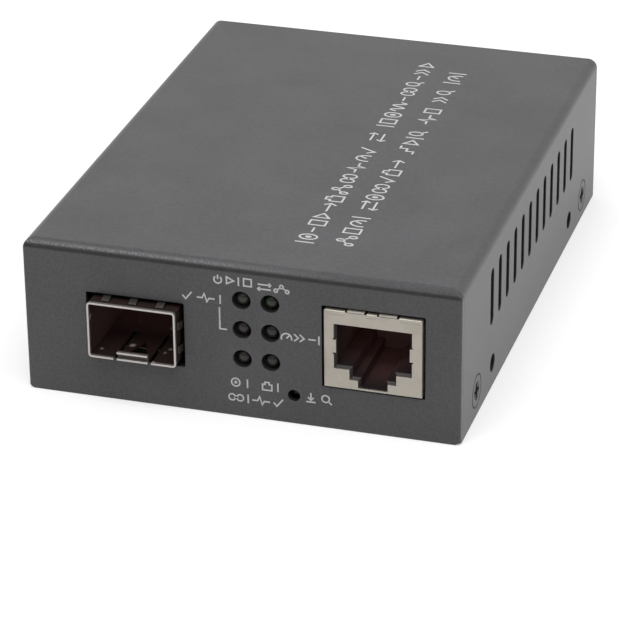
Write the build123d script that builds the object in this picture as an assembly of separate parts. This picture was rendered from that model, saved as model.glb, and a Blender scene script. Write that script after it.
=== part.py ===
from build123d import *
import math
import os

# Fibre media converter. Millimetres, +Z up, +X to the right seen from the front, front towards -Y.
# The origin is at the middle of the overall footprint, on the surface that the housing stands on.

# Housing sheet
WIDTH = 70.0
DEPTH = 94.0
HEIGHT = 26.0
SHEET = 1.0
BEND_INNER_R = 0.6
BEND_OUTER_R = BEND_INNER_R + SHEET
SEAM_R = 0.4
EDGE_ROUND = 0.25
FOOT_CORNER_R = 1.1
TOLERANCE = 0.001
INNER_X = WIDTH / 2 - SHEET

# The module cage stands proud of the front, and the origin is centred on the whole
CAGE_PROUD = 2.1
FRONT = CAGE_PROUD / 2 - DEPTH / 2
REAR = FRONT + DEPTH

# Base sheet inside the cover
BASE_RAISE = 1.0
BASE_GAP = 0.3
REAR_INSET = 0.25
FLANGE_TOP = 9.0
RELIEF = 1.2
BASE_X = INNER_X - BASE_GAP
FLANGE_X = BASE_X - SHEET
PLATE_TOP = BASE_RAISE + SHEET
BASE_FRONT = FRONT + SHEET + BASE_GAP
PANEL_BACK = REAR - REAR_INSET
PANEL_FACE = PANEL_BACK - SHEET
PANEL_TOP = HEIGHT - SHEET - BASE_GAP
FLANGE_END = PANEL_BACK - BEND_OUTER_R - RELIEF

# Side vents
VENT_COUNT = 12
VENT_PITCH = 5.08
VENT_HEIGHT = 0.373 * HEIGHT
VENT_WIDTH = 2.0
VENT_Z = 0.625 * HEIGHT
VENT_FIRST = FRONT + DEPTH / 2 - (VENT_COUNT - 1) * VENT_PITCH / 2

# Cover screws and side mounting holes
SCREW_FROM_END = 9.8
SCREW_Z = 4.5
SIDE_HOLE_FROM_END = 19.9
SIDE_HOLE_Z = 4.3
SIDE_HOLE_R = 1.5
TAP_R = 1.25
COLLAR_R = 2.0
COLLAR_LENGTH = 1.0
SCREW_HEAD_R = 2.75
SCREW_CORE_R = 1.2
SCREW_LENGTH = 3.8
SCREW_SEAT = 0.05
RECESS_SPAN = 2.8
RECESS_WIDTH = 0.8
RECESS_DEPTH = 0.9
SCREW_YS = (FRONT + SCREW_FROM_END, REAR - SCREW_FROM_END)
SIDE_HOLE_YS = (FRONT + SIDE_HOLE_FROM_END, REAR - SIDE_HOLE_FROM_END)

# Circuit board on standoffs
STANDOFF_HEIGHT = 4.0
STANDOFF_R = 2.1
STANDOFF_FOOT_AF = 4.8
BOARD_THICK = 1.6
BOARD_SIDE_GAP = 0.7
BOARD_END_GAP = 0.4
BOARD_CORNER_R = 1.0
BOARD_BOTTOM = PLATE_TOP + STANDOFF_HEIGHT
BOARD_TOP = BOARD_BOTTOM + BOARD_THICK
BOARD_X = FLANGE_X - COLLAR_LENGTH - BOARD_SIDE_GAP
BOARD_FRONT = BASE_FRONT + BOARD_END_GAP
BOARD_REAR = PANEL_FACE - BOARD_END_GAP
BOARD_LENGTH = BOARD_REAR - BOARD_FRONT
ROOM_ABOVE = HEIGHT - SHEET - BOARD_TOP
BOARD_SCREW_R = 2.75
BOARD_SCREW_HEAD = 1.9
BOARD_SCREW_BEVEL = 0.7
BOARD_SCREW_LENGTH = 4.6
BOARD_HOLE_R = 1.6
STANDOFF_PLACES = (
    (-BOARD_X + 3.0, BOARD_FRONT + 6.5),
    (BOARD_X - 3.0, BOARD_FRONT + 24.0),
    (-BOARD_X + 3.0, BOARD_REAR - 6.5),
    (BOARD_X - 3.0, BOARD_REAR - 19.0),
)

# Module cage, a thin folded sheet
CAGE_FROM_SIDE = 18.15
CAGE_X = CAGE_FROM_SIDE - WIDTH / 2
CAGE_WIDTH = 14.35
CAGE_HEIGHT = 9.45
CAGE_LENGTH = 48.7
CAGE_WALL = 0.3
CAGE_BEND_R = 0.6
CAGE_STAND = 0.5
CAGE_FRONT = FRONT - CAGE_PROUD
CAGE_BACK = CAGE_FRONT + CAGE_LENGTH
CAGE_BOTTOM = BOARD_TOP + CAGE_STAND
CAGE_TOP = CAGE_BOTTOM + CAGE_HEIGHT
CAGE_FLOOR = CAGE_BOTTOM + CAGE_WALL
CAGE_X0 = CAGE_X - CAGE_WIDTH / 2
CAGE_X1 = CAGE_X + CAGE_WIDTH / 2
SLOT_GAP_X = 0.78
SLOT_GAP_Z = 0.75
TONGUE_WIDTH = 5.0
TONGUE_LENGTH = 10.0
TONGUE_SLIT = 0.6
TONGUE_LIP = 1.1
TONGUE_LIP_DEPTH = 0.8
LATCH_WIDTH = 3.2
LATCH_LENGTH = 4.0
LATCH_FROM_LIP = 2.6
CAGE_VENT_R = 0.9
CAGE_VENT_PITCH = 3.4
CAGE_VENT_ROWS = 3
CAGE_VENT_COLUMNS = 6
CAGE_VENT_FIRST = CAGE_FRONT + 16.0
PIN_WIDTH = 0.6
PIN_FOOT_WIDTH = 1.6
PIN_BELOW = 0.6
PIN_HOLE_R = 0.5
PIN_COUNT = 5
PIN_FROM_MOUTH = 11.0
PIN_FROM_BACK = 5.7
PIN_FIRST = CAGE_FRONT + PIN_FROM_MOUTH
PIN_PITCH = (CAGE_LENGTH - PIN_FROM_MOUTH - PIN_FROM_BACK) / (PIN_COUNT - 1)

# Spring collar round the cage's mouth
COLLAR_STRIP = 0.15
COLLAR_FIT = 0.05
SPRING_REACH = 0.12
SPRING_WIDTH = 1.2
SPRING_START = FRONT - 1.2
COLLAR_START = FRONT + 3.0
COLLAR_END = COLLAR_START + 2.0
TOP_SPRING_PITCH = 4.4
SIDE_SPRING_PITCH = 4.0
BOTTOM_SPRING_PITCH = 9.4

# Edge connector at the end of the cage
CONNECTOR_WIDTH = 12.8
CONNECTOR_HEIGHT = 7.0
CONNECTOR_DEPTH = 9.4
CONNECTOR_BACK_GAP = 1.4
CARD_SLOT_WIDTH = 11.0
CARD_SLOT_HEIGHT = 1.3
CARD_SLOT_DEPTH = 5.5
CARD_SLOT_Z = BOARD_TOP + 4.4
CONTACT_COUNT = 10
CONTACT_PITCH = 0.8
CONTACT_WIDTH = 0.3
CONTACT_THICK = 0.2
CONNECTOR_BACK = CAGE_BACK - CAGE_WALL - CONNECTOR_BACK_GAP
CONNECTOR_FRONT = CONNECTOR_BACK - CONNECTOR_DEPTH

# Network jack
JACK_FROM_SIDE = 13.72
JACK_X = WIDTH / 2 - JACK_FROM_SIDE
JACK_WIDTH = 15.45
JACK_HEIGHT = 0.75 * ROOM_ABOVE
JACK_LENGTH = 21.0
JACK_PROUD = 0.4
JACK_WALL = 0.3
JACK_MOUTH_R = 0.24
JACK_FIT = 0.05
JACK_OPENING_GAP = 0.42
JACK_FRONT = FRONT - JACK_PROUD
JACK_BACK = JACK_FRONT + JACK_LENGTH
JACK_TOP = BOARD_TOP + JACK_HEIGHT
PLUG_WIDTH = 12.3
PLUG_TOP = BOARD_TOP + 0.827 * JACK_HEIGHT
PLUG_SHOULDER = BOARD_TOP + 0.245 * JACK_HEIGHT
PLUG_STEP_WIDTH = 7.4
PLUG_STEP = BOARD_TOP + 0.115 * JACK_HEIGHT
PLUG_NOTCH_WIDTH = 4.7
PLUG_NOTCH = BOARD_TOP + 0.25
PLUG_INSET = 0.35
PLUG_DEPTH = 14.0
NICK_Z = BOARD_TOP + 0.452 * JACK_HEIGHT
NICK_HEIGHT = 0.165 * JACK_HEIGHT
NICK_REACH = 0.35
NICK_RELIEF = 0.3
JACK_SLIT = 0.38
JACK_TAB_LENGTH = 7.0
JACK_TAB_LIFT = 0.22
JACK_TABS = ((-3.98, 2.65), (1.0, 2.75))
JACK_NOTCH_DEPTH = 0.5
JACK_SEAM = 0.1
JACK_PEG_R = 1.55
JACK_PEG_FIT = 0.05
JACK_PEG_SPACING = 11.4
JACK_PEG_BACK = 12.0
WIRE_COUNT = 8
WIRE_PITCH = 1.02
WIRE_SIZE = 0.35
WIRE_FROM_MOUTH = 2.8
WIRE_REACH = 9.0
WIRE_DROP = 2.6

# Indicator lights
LED_X = 2.7
LED_PITCH_X = 4.56
LED_PITCH_Z = 0.2874 * ROOM_ABOVE
LED_FIRST_Z = BOARD_TOP + LED_PITCH_Z / 2
LED_HOLE_R = 1.5
LED_R = 1.4
LED_FLANGE_R = 1.6
LED_FLANGE = 0.8
LED_LENGTH = 4.8
LED_RECESS = 0.35
LED_FIT = 0.05
LED_ROWS = 3
HOLDER_WIDTH = 4.4
HOLDER_DEPTH = 7.0
HOLDER_TOP_WALL = 2.0
HOLDER_GAP = 0.4
HOLDER_FRONT = FRONT + SHEET + HOLDER_GAP
HOLDER_BACK = HOLDER_FRONT + HOLDER_DEPTH
LEG_SIZE = 0.5
LEG_SPACING = 2.54
LEG_FIT = 0.1
LEG_BELOW = 1.0
LEG_STEP = 2.54

# Recessed push button under the board
DIAG_X = 8.62
DIAG_Z = BOARD_BOTTOM - 1.1
DIAG_HOLE_R = 1.0
DIAG_BODY_WIDTH = 4.6
DIAG_BODY_DEPTH = 3.4
DIAG_BODY_HEIGHT = 2.0
DIAG_COVER_WALL = 0.2
DIAG_FROM_FRONT = 1.4
BUTTON_R = 0.65
BUTTON_ROUND = 0.25
BUTTON_FIT = 0.08
BUTTON_HEAD = 0.9
BUTTON_STEM = 1.6
BUTTON_TRAVEL = 0.25
DIAG_FRONT = FRONT + SHEET + DIAG_FROM_FRONT

# Power inlet in the rear panel
POWER_FROM_SIDE = 12.7
POWER_X = WIDTH / 2 - POWER_FROM_SIDE
POWER_WIDTH = 9.0
POWER_HEIGHT = 11.0
POWER_DEPTH = 14.2
POWER_GAP = 0.3
POWER_CORNER_R = 0.5
POWER_BEVEL = 0.35
BARREL_Z = BOARD_TOP + 6.3
BARREL_R = 3.1
BARREL_DEPTH = 11.0
CENTRE_PIN_R = 1.0
CENTRE_PIN_RECESS = 4.0
CENTRE_PIN_ROUND = 0.6
BLADE_RECESS = 1.6
BLADE_THICK = 0.3
BLADE_LIFT = 0.5
BLADE_ARC = 80.0
TERMINAL_WIDTH = 2.0
TERMINAL_THICK = 0.5
TERMINAL_BELOW = 1.2
POWER_TOP = BOARD_TOP + POWER_HEIGHT
POWER_FACE = PANEL_BACK
POWER_FRONT = POWER_FACE - POWER_DEPTH

# Parts on the board: width, depth and height, and the place as shares of the board's half width and length
MAGNETICS_SIZE = (15.0, 13.0, 5.6)
MAGNETICS_SHARE = (0.55, 0.39)
MAGNETICS_LEAD_COUNT = 10
CHIP_SIZE = (12.0, 12.0, 0.9)
CHIP_SHARE = (0.065, 0.607)
MEMORY_SIZE = (4.9, 3.9, 1.5)
MEMORY_SHARE = (0.048, 0.42)
MEMORY_LEAD_COUNT = 4
CRYSTAL_SIZE = (5.0, 3.2, 1.1)
CRYSTAL_RIM = 0.25
CRYSTAL_SHARES = ((0.065, 0.298), (0.065, 0.912))
CAPACITOR_R = 3.15
CAPACITOR_HEIGHT = 7.5
CAPACITOR_SHARES = ((-0.29, 0.90), (0.32, 0.852), (-0.855, 0.68))
CAN_BEAD = 0.25
CAN_BEAD_Z = 1.6
INDUCTOR_SIZE = (7.0, 7.0, 3.2)
INDUCTOR_SHARE = (-0.613, 0.89)
INDUCTOR_CORNER = 1.25
INDUCTOR_RING_R = 2.5
INDUCTOR_RING_WIDTH = 0.4
REGULATOR_SIZE = (6.5, 3.5, 1.7)
REGULATOR_SHARES = ((-0.613, 0.768), (-0.258, 0.768))
REGULATOR_PITCH = 2.3
REGULATOR_LEAD = 0.7
REGULATOR_TAB = 3.0
TAB_THICK = 0.3
TAB_REACH = 1.6
LEAD_REACH = 1.0
LEAD_RISE = 0.3
LEAD_SHARE = 0.4
PACKAGE_BEVEL = 0.2
PACKAGE_MARK_R = 0.5
PACKAGE_MARK_INSET = 1.4
SMALL_SIZE = (1.6, 0.8, 0.6)
SMALL_COUNT = 5
SMALL_PITCH = 2.2
SMALL_SHARES = ((0.113, 0.48), (0.113, 0.717))


def block(x0, x1, y0, y1, z0, z1):
    """Rectangular block between two opposite corners."""
    return Pos((x0 + x1) / 2, (y0 + y1) / 2, (z0 + z1) / 2) * Box(x1 - x0, y1 - y0, z1 - z0)


def on_board(size, place):
    """Block of a given size that stands on the board's top at a place."""
    width, depth, height = size
    x, y = place
    return block(x - width / 2, x + width / 2, y - depth / 2, y + depth / 2, BOARD_TOP, BOARD_TOP + height)


def board_place(share):
    """Place on the board from shares of its half width and of its length."""
    return BOARD_X * share[0], BOARD_FRONT + BOARD_LENGTH * share[1]


def rod_x(y, z, r, x0, x1):
    """Round bar along X."""
    return Pos((x0 + x1) / 2, y, z) * Rot(0, 90, 0) * Cylinder(r, abs(x1 - x0))


def rod_y(x, z, r, y0, y1):
    """Round bar along Y."""
    return Pos(x, (y0 + y1) / 2, z) * Rot(90, 0, 0) * Cylinder(r, abs(y1 - y0))


def rod_z(x, y, r, z0, z1):
    """Round bar along Z."""
    return Pos(x, y, (z0 + z1) / 2) * Cylinder(r, abs(z1 - z0))


def along_x(profile, x0, x1):
    """Profile drawn in (y, z), extruded along X."""
    return extrude(Plane(origin=(x0, 0, 0), x_dir=(0, 1, 0), z_dir=(1, 0, 0)) * profile, x1 - x0)


def facing_front(y):
    """Upright plane at a depth, with its normal towards the front."""
    return Plane(origin=(0, y, 0), x_dir=(1, 0, 0), z_dir=(0, -1, 0))


def along_y(profile, y0, y1):
    """Profile drawn in (x, z), extruded along Y."""
    return extrude(facing_front(y1) * profile, y1 - y0)


def outline(*points):
    """Closed straight-sided face through its corners."""
    return Polygon(*points, align=None)


def turned(*points):
    """Solid of revolution about Z from (radius, z) corners."""
    return revolve(Plane.XZ * outline(*points), Axis.Z)


def group(solids):
    """Separate solids kept together as one node."""
    return Compound(children=[Compound([s]) if isinstance(s, Solid) else s for s in solids])


def cross_recess(z_top):
    """Cutter for a cross recess that opens upwards at a height."""
    arm = Box(RECESS_SPAN, RECESS_WIDTH, RECESS_DEPTH)
    return Pos(0, 0, z_top - RECESS_DEPTH / 2) * (arm + Rot(0, 0, 90) * arm)


def towards_side(side):
    """Turns something built along +Z so that it points out of one side of the housing."""
    return Rot(0, 90 * side, 0)


def top_bend_edges(body):
    """The three upper edges that the cover is folded along."""
    sides = body.edges().filter_by(Axis.Y).group_by(Axis.Z)[-1]
    front = body.edges().filter_by(Axis.X).group_by(Axis.Z)[-1].sort_by(Axis.Y)[0]
    return [*sides, front]


def countersunk(head_r, depth, core_r, length):
    """Countersunk form with its flat end at z = 0 and its shank down."""
    return turned((0, 0), (head_r, 0), (head_r - depth, -depth), (core_r, -depth),
                  (core_r, -length), (0, -length))


def make_cover():
    """Folded cover: top, both sides and front are one sheet, open below and behind."""
    outer = block(-WIDTH / 2, WIDTH / 2, FRONT, REAR, 0, HEIGHT)
    outer = fillet(top_bend_edges(outer), BEND_OUTER_R)
    outer = fillet(outer.edges().filter_by(Axis.Z).group_by(Axis.Y)[0], SEAM_R)
    inner = block(-INNER_X, INNER_X, FRONT + SHEET, REAR + SHEET, -SHEET, HEIGHT - SHEET)
    inner = fillet(top_bend_edges(inner), BEND_INNER_R)
    shell = outer - inner
    shell = fillet(shell.edges().group_by(Axis.Z)[0], EDGE_ROUND)
    slots = Sketch() + [
        Pos(VENT_FIRST + i * VENT_PITCH, VENT_Z) * SlotOverall(VENT_HEIGHT, VENT_WIDTH, rotation=90)
        for i in range(VENT_COUNT)
    ]
    shell -= along_x(slots, -WIDTH, WIDTH)
    for y in SIDE_HOLE_YS:
        shell -= rod_x(y, SIDE_HOLE_Z, SIDE_HOLE_R, -WIDTH, WIDTH)
    depth = SHEET + BASE_GAP
    sink = countersunk(SCREW_HEAD_R + SCREW_SEAT, depth, SCREW_CORE_R, depth + SCREW_SEAT)
    for side in (-1, 1):
        for y in SCREW_YS:
            shell -= Pos(side * WIDTH / 2, y, SCREW_Z) * towards_side(side) * sink
    for side in (-1, 1):
        shell -= foot_corner(side)
    return shell - front_openings()


def foot_corner(side):
    """Cutter that rounds the foot of the cover's front corner, seen along the corner's diagonal."""
    r = FOOT_CORNER_R
    cutter = block(-2 * r, 2 * r, -2 * r, r, -r, r) - rod_x(r, r, r, -2 * r, 2 * r)
    return Pos(side * WIDTH / 2, FRONT, 0) * Rot(0, 0, 45 * side) * cutter


def front_openings():
    """Everything that is punched through the front of the cover."""
    slot = RectangleRounded(CAGE_WIDTH + 2 * SLOT_GAP_X, CAGE_HEIGHT + 2 * SLOT_GAP_Z, EDGE_ROUND)
    gap = 2 * JACK_OPENING_GAP
    port = RectangleRounded(JACK_WIDTH + gap, JACK_HEIGHT + gap, EDGE_ROUND)
    holes = Pos(CAGE_X, CAGE_BOTTOM + CAGE_HEIGHT / 2) * slot
    holes += Pos(JACK_X, BOARD_TOP + JACK_HEIGHT / 2) * port
    holes += Pos(DIAG_X, DIAG_Z) * Circle(DIAG_HOLE_R)
    for x, z in led_places():
        holes += Pos(x, z) * Circle(LED_HOLE_R)
    return along_y(holes, FRONT - SHEET, FRONT + 2 * SHEET)


def led_places():
    """Centres of the six lights in (x, z), from the bottom row up and left to right."""
    return [
        (LED_X + side * LED_PITCH_X / 2, LED_FIRST_Z + row * LED_PITCH_Z)
        for row in range(LED_ROWS)
        for side in (-1, 1)
    ]


def make_base():
    """Folded base: bottom, rear panel and side flanges with extruded tapped holes."""
    tub_out = Pos(0, (BASE_RAISE + FLANGE_TOP) / 2) * Rectangle(2 * BASE_X, FLANGE_TOP - BASE_RAISE)
    tub_out = fillet(tub_out.vertices().group_by(Axis.Y)[0], BEND_OUTER_R)
    tub_in = Pos(0, PLATE_TOP + FLANGE_TOP / 2) * Rectangle(2 * FLANGE_X, FLANGE_TOP)
    tub_in = fillet(tub_in.vertices().group_by(Axis.Y)[0], BEND_INNER_R)
    tub = along_y(tub_out - tub_in, BASE_FRONT, FLANGE_END)
    plate_x = FLANGE_X - BEND_INNER_R
    plate = block(-plate_x, plate_x, FLANGE_END - SHEET, PANEL_FACE, BASE_RAISE, PLATE_TOP)
    y_bend = PANEL_FACE - 2 * BEND_OUTER_R
    corner = outline((y_bend, BASE_RAISE), (PANEL_BACK, BASE_RAISE), (PANEL_BACK, PANEL_TOP),
                     (PANEL_FACE, PANEL_TOP), (PANEL_FACE, PLATE_TOP), (y_bend, PLATE_TOP))
    corner = fillet(corner.vertices().group_by(Axis.Y)[0].sort_by(Axis.X)[-1], BEND_OUTER_R)
    inside = corner.vertices().filter_by(lambda v: abs(v.X - PANEL_FACE) < TOLERANCE)
    corner = fillet(inside.sort_by(Axis.Y)[0], BEND_INNER_R)
    panel = along_x(corner, -BASE_X, BASE_X)
    for side in (-1, 1):
        x0, x1 = sorted((side * plate_x, side * WIDTH))
        panel -= block(x0, x1, FLANGE_END - SHEET, REAR, -SHEET, BASE_RAISE + BEND_OUTER_R - SHEET)
        panel -= block(x0, x1, FLANGE_END - SHEET, PANEL_FACE, -SHEET, PANEL_TOP)
    base = tub + plate + panel
    tapped = [(y, SCREW_Z) for y in SCREW_YS] + [(y, SIDE_HOLE_Z) for y in SIDE_HOLE_YS]
    for side in (-1, 1):
        for y, z in tapped:
            base += rod_x(y, z, COLLAR_R, side * (FLANGE_X - COLLAR_LENGTH), side * (FLANGE_X + SHEET / 2))
            base -= rod_x(y, z, TAP_R, side * (FLANGE_X - 2 * COLLAR_LENGTH), side * INNER_X)
    foot = RegularPolygon(STANDOFF_FOOT_AF / 2 + SCREW_SEAT, 6, major_radius=False)
    for x, y in STANDOFF_PLACES:
        base -= Pos(x, y, 0) * extrude(foot, PLATE_TOP + SHEET)
    inlet = RectangleRounded(POWER_WIDTH + 2 * POWER_GAP, POWER_HEIGHT + 2 * POWER_GAP, POWER_CORNER_R)
    return base - along_y(Pos(POWER_X, BOARD_TOP + POWER_HEIGHT / 2) * inlet, PANEL_FACE - SHEET, REAR)


def make_cover_screws():
    """Four countersunk screws, two through each side."""
    depth = SHEET + BASE_GAP - SCREW_SEAT
    screw = countersunk(SCREW_HEAD_R, depth, SCREW_CORE_R, SCREW_LENGTH) - cross_recess(0)
    return group([
        Pos(side * WIDTH / 2, y, SCREW_Z) * towards_side(side) * screw
        for side in (-1, 1)
        for y in SCREW_YS
    ])


def make_standoffs():
    """Four clinched standoffs with a hexagonal foot flush in the base."""
    hexagon = RegularPolygon(STANDOFF_FOOT_AF / 2, 6, major_radius=False)
    post = Pos(0, 0, BASE_RAISE) * extrude(hexagon, SHEET) + rod_z(0, 0, STANDOFF_R, BASE_RAISE, BOARD_BOTTOM)
    post -= rod_z(0, 0, TAP_R, 0, BOARD_TOP)
    return group([Pos(x, y, 0) * post for x, y in STANDOFF_PLACES])


def make_board_screws():
    """Four pan-head screws that hold the board on its standoffs."""
    head = rod_z(0, 0, BOARD_SCREW_R, BOARD_TOP, BOARD_TOP + BOARD_SCREW_HEAD)
    head = chamfer(head.edges().group_by(Axis.Z)[-1], BOARD_SCREW_BEVEL)
    screw = head + rod_z(0, 0, SCREW_CORE_R, BOARD_TOP - BOARD_SCREW_LENGTH, BOARD_TOP)
    return group([Pos(x, y, 0) * screw for x, y in STANDOFF_PLACES])


def cage_pin_places():
    """Press-fit pins of the cage as (side, x, y), in a row along each side wall."""
    return [
        (side, CAGE_X + side * (CAGE_WIDTH - CAGE_WALL) / 2, PIN_FIRST + i * PIN_PITCH)
        for side in (-1, 1)
        for i in range(PIN_COUNT)
    ]


def leg_places():
    """Legs of the lights as (x, y of the bend, z of the light)."""
    return [
        (x + side * LEG_SPACING / 2, HOLDER_BACK + LEG_STEP * (1 + row), LED_FIRST_Z + row * LED_PITCH_Z)
        for row in range(LED_ROWS)
        for x in (LED_X - LED_PITCH_X / 2, LED_X + LED_PITCH_X / 2)
        for side in (-1, 1)
    ]


def jack_peg_places():
    """Locating pegs of the network jack."""
    return [(JACK_X + side * JACK_PEG_SPACING / 2, JACK_FRONT + JACK_PEG_BACK) for side in (-1, 1)]


def power_terminal_places():
    """Where the power inlet's two terminals pass through the board."""
    return [(POWER_X, POWER_FRONT + TERMINAL_THICK), (POWER_X, POWER_FRONT + POWER_DEPTH / 2)]


def make_circuit_board():
    """Circuit board with its screw holes, pin holes and the cut-out below the module springs."""
    board = block(-BOARD_X, BOARD_X, BOARD_FRONT, BOARD_REAR, BOARD_BOTTOM, BOARD_TOP)
    board = fillet(board.edges().filter_by(Axis.Z), BOARD_CORNER_R)
    springs_end = COLLAR_END + BASE_GAP
    board -= block(CAGE_X0 - SLOT_GAP_X, CAGE_X1 + SLOT_GAP_X, FRONT, springs_end, 0, HEIGHT)
    for x, y in STANDOFF_PLACES:
        board -= rod_z(x, y, BOARD_HOLE_R, 0, HEIGHT)
    for _, x, y in cage_pin_places():
        board -= rod_z(x, y, PIN_HOLE_R, 0, HEIGHT)
    for x, y, _ in leg_places():
        board -= rod_z(x, y, LEG_SIZE / math.sqrt(2) + LEG_FIT, 0, HEIGHT)
    for x, y in jack_peg_places():
        board -= rod_z(x, y, JACK_PEG_R + JACK_PEG_FIT, 0, HEIGHT)
    half_w = TERMINAL_WIDTH / 2 + LEG_FIT
    half_t = TERMINAL_THICK / 2 + LEG_FIT
    for x, y in power_terminal_places():
        board -= block(x - half_w, x + half_w, y - half_t, y + half_t, 0, HEIGHT)
    return board


def make_sfp_cage():
    """Cage of the module slot: a folded tube with a latch tongue, vents, stand-off feet and pins."""
    tube = Rectangle(CAGE_WIDTH, CAGE_HEIGHT)
    tube = fillet(tube.vertices(), CAGE_BEND_R)
    bore = Rectangle(CAGE_WIDTH - 2 * CAGE_WALL, CAGE_HEIGHT - 2 * CAGE_WALL)
    bore = fillet(bore.vertices(), CAGE_BEND_R - CAGE_WALL)
    middle = Pos(CAGE_X, CAGE_BOTTOM + CAGE_HEIGHT / 2)
    cage = along_y(middle * tube, CAGE_FRONT, CAGE_BACK)
    cage -= along_y(middle * bore, CAGE_FRONT - CAGE_WALL, CAGE_BACK - CAGE_WALL)
    under = CONNECTOR_WIDTH / 2 + CAGE_WALL
    cage -= block(CAGE_X - under, CAGE_X + under, CONNECTOR_FRONT - CAGE_WALL, CAGE_BACK - CAGE_WALL,
                  CAGE_BOTTOM - CAGE_WALL, CAGE_FLOOR)
    for side in (-1, 1):
        x = CAGE_X + side * (TONGUE_WIDTH + TONGUE_SLIT) / 2
        cage -= block(x - TONGUE_SLIT / 2, x + TONGUE_SLIT / 2, CAGE_FRONT - CAGE_WALL,
                      CAGE_FRONT + TONGUE_LENGTH, CAGE_BOTTOM - CAGE_WALL, CAGE_FLOOR)
    y_web = CAGE_FRONT + TONGUE_LIP_DEPTH
    z_lip = CAGE_FLOOR + TONGUE_LIP
    lip = outline((y_web, CAGE_BOTTOM), (y_web, z_lip), (CAGE_FRONT, z_lip), (CAGE_FRONT, z_lip - CAGE_WALL),
                  (y_web - CAGE_WALL, z_lip - CAGE_WALL), (y_web - CAGE_WALL, CAGE_BOTTOM))
    cage += along_x(lip, CAGE_X - TONGUE_WIDTH / 2, CAGE_X + TONGUE_WIDTH / 2)
    y0 = CAGE_FRONT + LATCH_FROM_LIP
    half = LATCH_WIDTH / 2
    latch = outline((CAGE_X - half, y0), (CAGE_X + half, y0), (CAGE_X, y0 + LATCH_LENGTH))
    cage -= extrude(Pos(0, 0, CAGE_BOTTOM - CAGE_WALL) * latch, 3 * CAGE_WALL)
    vents = Sketch() + [
        Pos(CAGE_X + column * CAGE_VENT_PITCH, CAGE_VENT_FIRST + row * CAGE_VENT_PITCH) * Circle(CAGE_VENT_R)
        for column in range(-(CAGE_VENT_ROWS // 2), CAGE_VENT_ROWS // 2 + 1)
        for row in range(CAGE_VENT_COLUMNS)
    ]
    cage -= extrude(Pos(0, 0, CAGE_TOP - 2 * CAGE_WALL) * vents, 3 * CAGE_WALL)
    for _, x, y in cage_pin_places():
        cage += block(x - CAGE_WALL / 2, x + CAGE_WALL / 2, y - PIN_FOOT_WIDTH / 2, y + PIN_FOOT_WIDTH / 2,
                      BOARD_TOP, CAGE_BOTTOM + CAGE_BEND_R)
        cage += block(x - CAGE_WALL / 2, x + CAGE_WALL / 2, y - PIN_WIDTH / 2, y + PIN_WIDTH / 2,
                      BOARD_BOTTOM - PIN_BELOW, CAGE_BOTTOM)
    return cage


def spring_finger(reach):
    """One bowed finger drawn in (y, height): it starts at the collar, bows out and returns at its tip."""
    y0 = SPRING_START
    y1 = COLLAR_START + COLLAR_STRIP
    y_mid = FRONT + SHEET / 2
    outside = ThreePointArc((y0, COLLAR_STRIP), (y_mid, reach), (y1, COLLAR_STRIP))
    inside = ThreePointArc((y1, 0), (y_mid, reach - COLLAR_STRIP), (y0, 0))
    ends = [Line((y1, COLLAR_STRIP), (y1, 0)), Line((y0, 0), (y0, COLLAR_STRIP))]
    return make_face([outside, ends[0], inside, ends[1]])


def spring_row(reach, pitch, count):
    """Fingers side by side about x = 0, bowing towards +Z from z = 0."""
    first = -(count - 1) * pitch / 2
    half = SPRING_WIDTH / 2
    middles = [first + i * pitch for i in range(count)]
    return Part() + [along_x(spring_finger(reach), x - half, x + half) for x in middles]


def make_sfp_spring_collar():
    """Earthing collar: a thin band round the cage with bowed fingers that reach for the panel."""
    fit = 2 * COLLAR_FIT
    inner = Rectangle(CAGE_WIDTH + fit, CAGE_HEIGHT + fit)
    inner = fillet(inner.vertices(), CAGE_BEND_R + COLLAR_FIT)
    outer = offset(inner, COLLAR_STRIP)
    z_mid = CAGE_BOTTOM + CAGE_HEIGHT / 2
    collar = along_y(Pos(CAGE_X, z_mid) * (outer - inner), COLLAR_START, COLLAR_END)
    half_w = CAGE_WIDTH / 2 + COLLAR_FIT
    half_h = CAGE_HEIGHT / 2 + COLLAR_FIT
    reach_x = SLOT_GAP_X - COLLAR_FIT - SPRING_REACH
    reach_z = SLOT_GAP_Z - COLLAR_FIT - SPRING_REACH
    rows = [
        (0, half_h, reach_z, TOP_SPRING_PITCH, 3),
        (180, half_h, reach_z, BOTTOM_SPRING_PITCH, 2),
        (90, half_w, reach_x, SIDE_SPRING_PITCH, 2),
        (-90, half_w, reach_x, SIDE_SPRING_PITCH, 2),
    ]
    for angle, lift, reach, pitch, count in rows:
        collar += Pos(CAGE_X, 0, z_mid) * Rot(0, angle, 0) * Pos(0, 0, lift) * spring_row(reach, pitch, count)
    return collar


def make_sfp_connector():
    """Edge connector housing with its card slot, standing on the board inside the cage."""
    x0 = CAGE_X - CONNECTOR_WIDTH / 2
    x1 = CAGE_X + CONNECTOR_WIDTH / 2
    mouth = CARD_SLOT_HEIGHT / 2
    body = block(x0, x1, CONNECTOR_FRONT, CONNECTOR_BACK, BOARD_TOP, BOARD_TOP + CONNECTOR_HEIGHT)
    body = chamfer(body.edges().filter_by(Axis.X).group_by(Axis.Y)[0].group_by(Axis.Z)[-1], mouth)
    body -= block(CAGE_X - CARD_SLOT_WIDTH / 2, CAGE_X + CARD_SLOT_WIDTH / 2, CONNECTOR_FRONT - 1,
                  CONNECTOR_FRONT + CARD_SLOT_DEPTH, CARD_SLOT_Z - mouth, CARD_SLOT_Z + mouth)
    for x in contact_xs():
        for side in (-1, 1):
            z0, z1 = sorted((CARD_SLOT_Z, CARD_SLOT_Z + side * (mouth + 2 * CONTACT_THICK)))
            body -= block(x - CONTACT_WIDTH, x + CONTACT_WIDTH, CONNECTOR_FRONT + CONTACT_THICK,
                          CONNECTOR_FRONT + CARD_SLOT_DEPTH, z0, z1)
    return body


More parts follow.
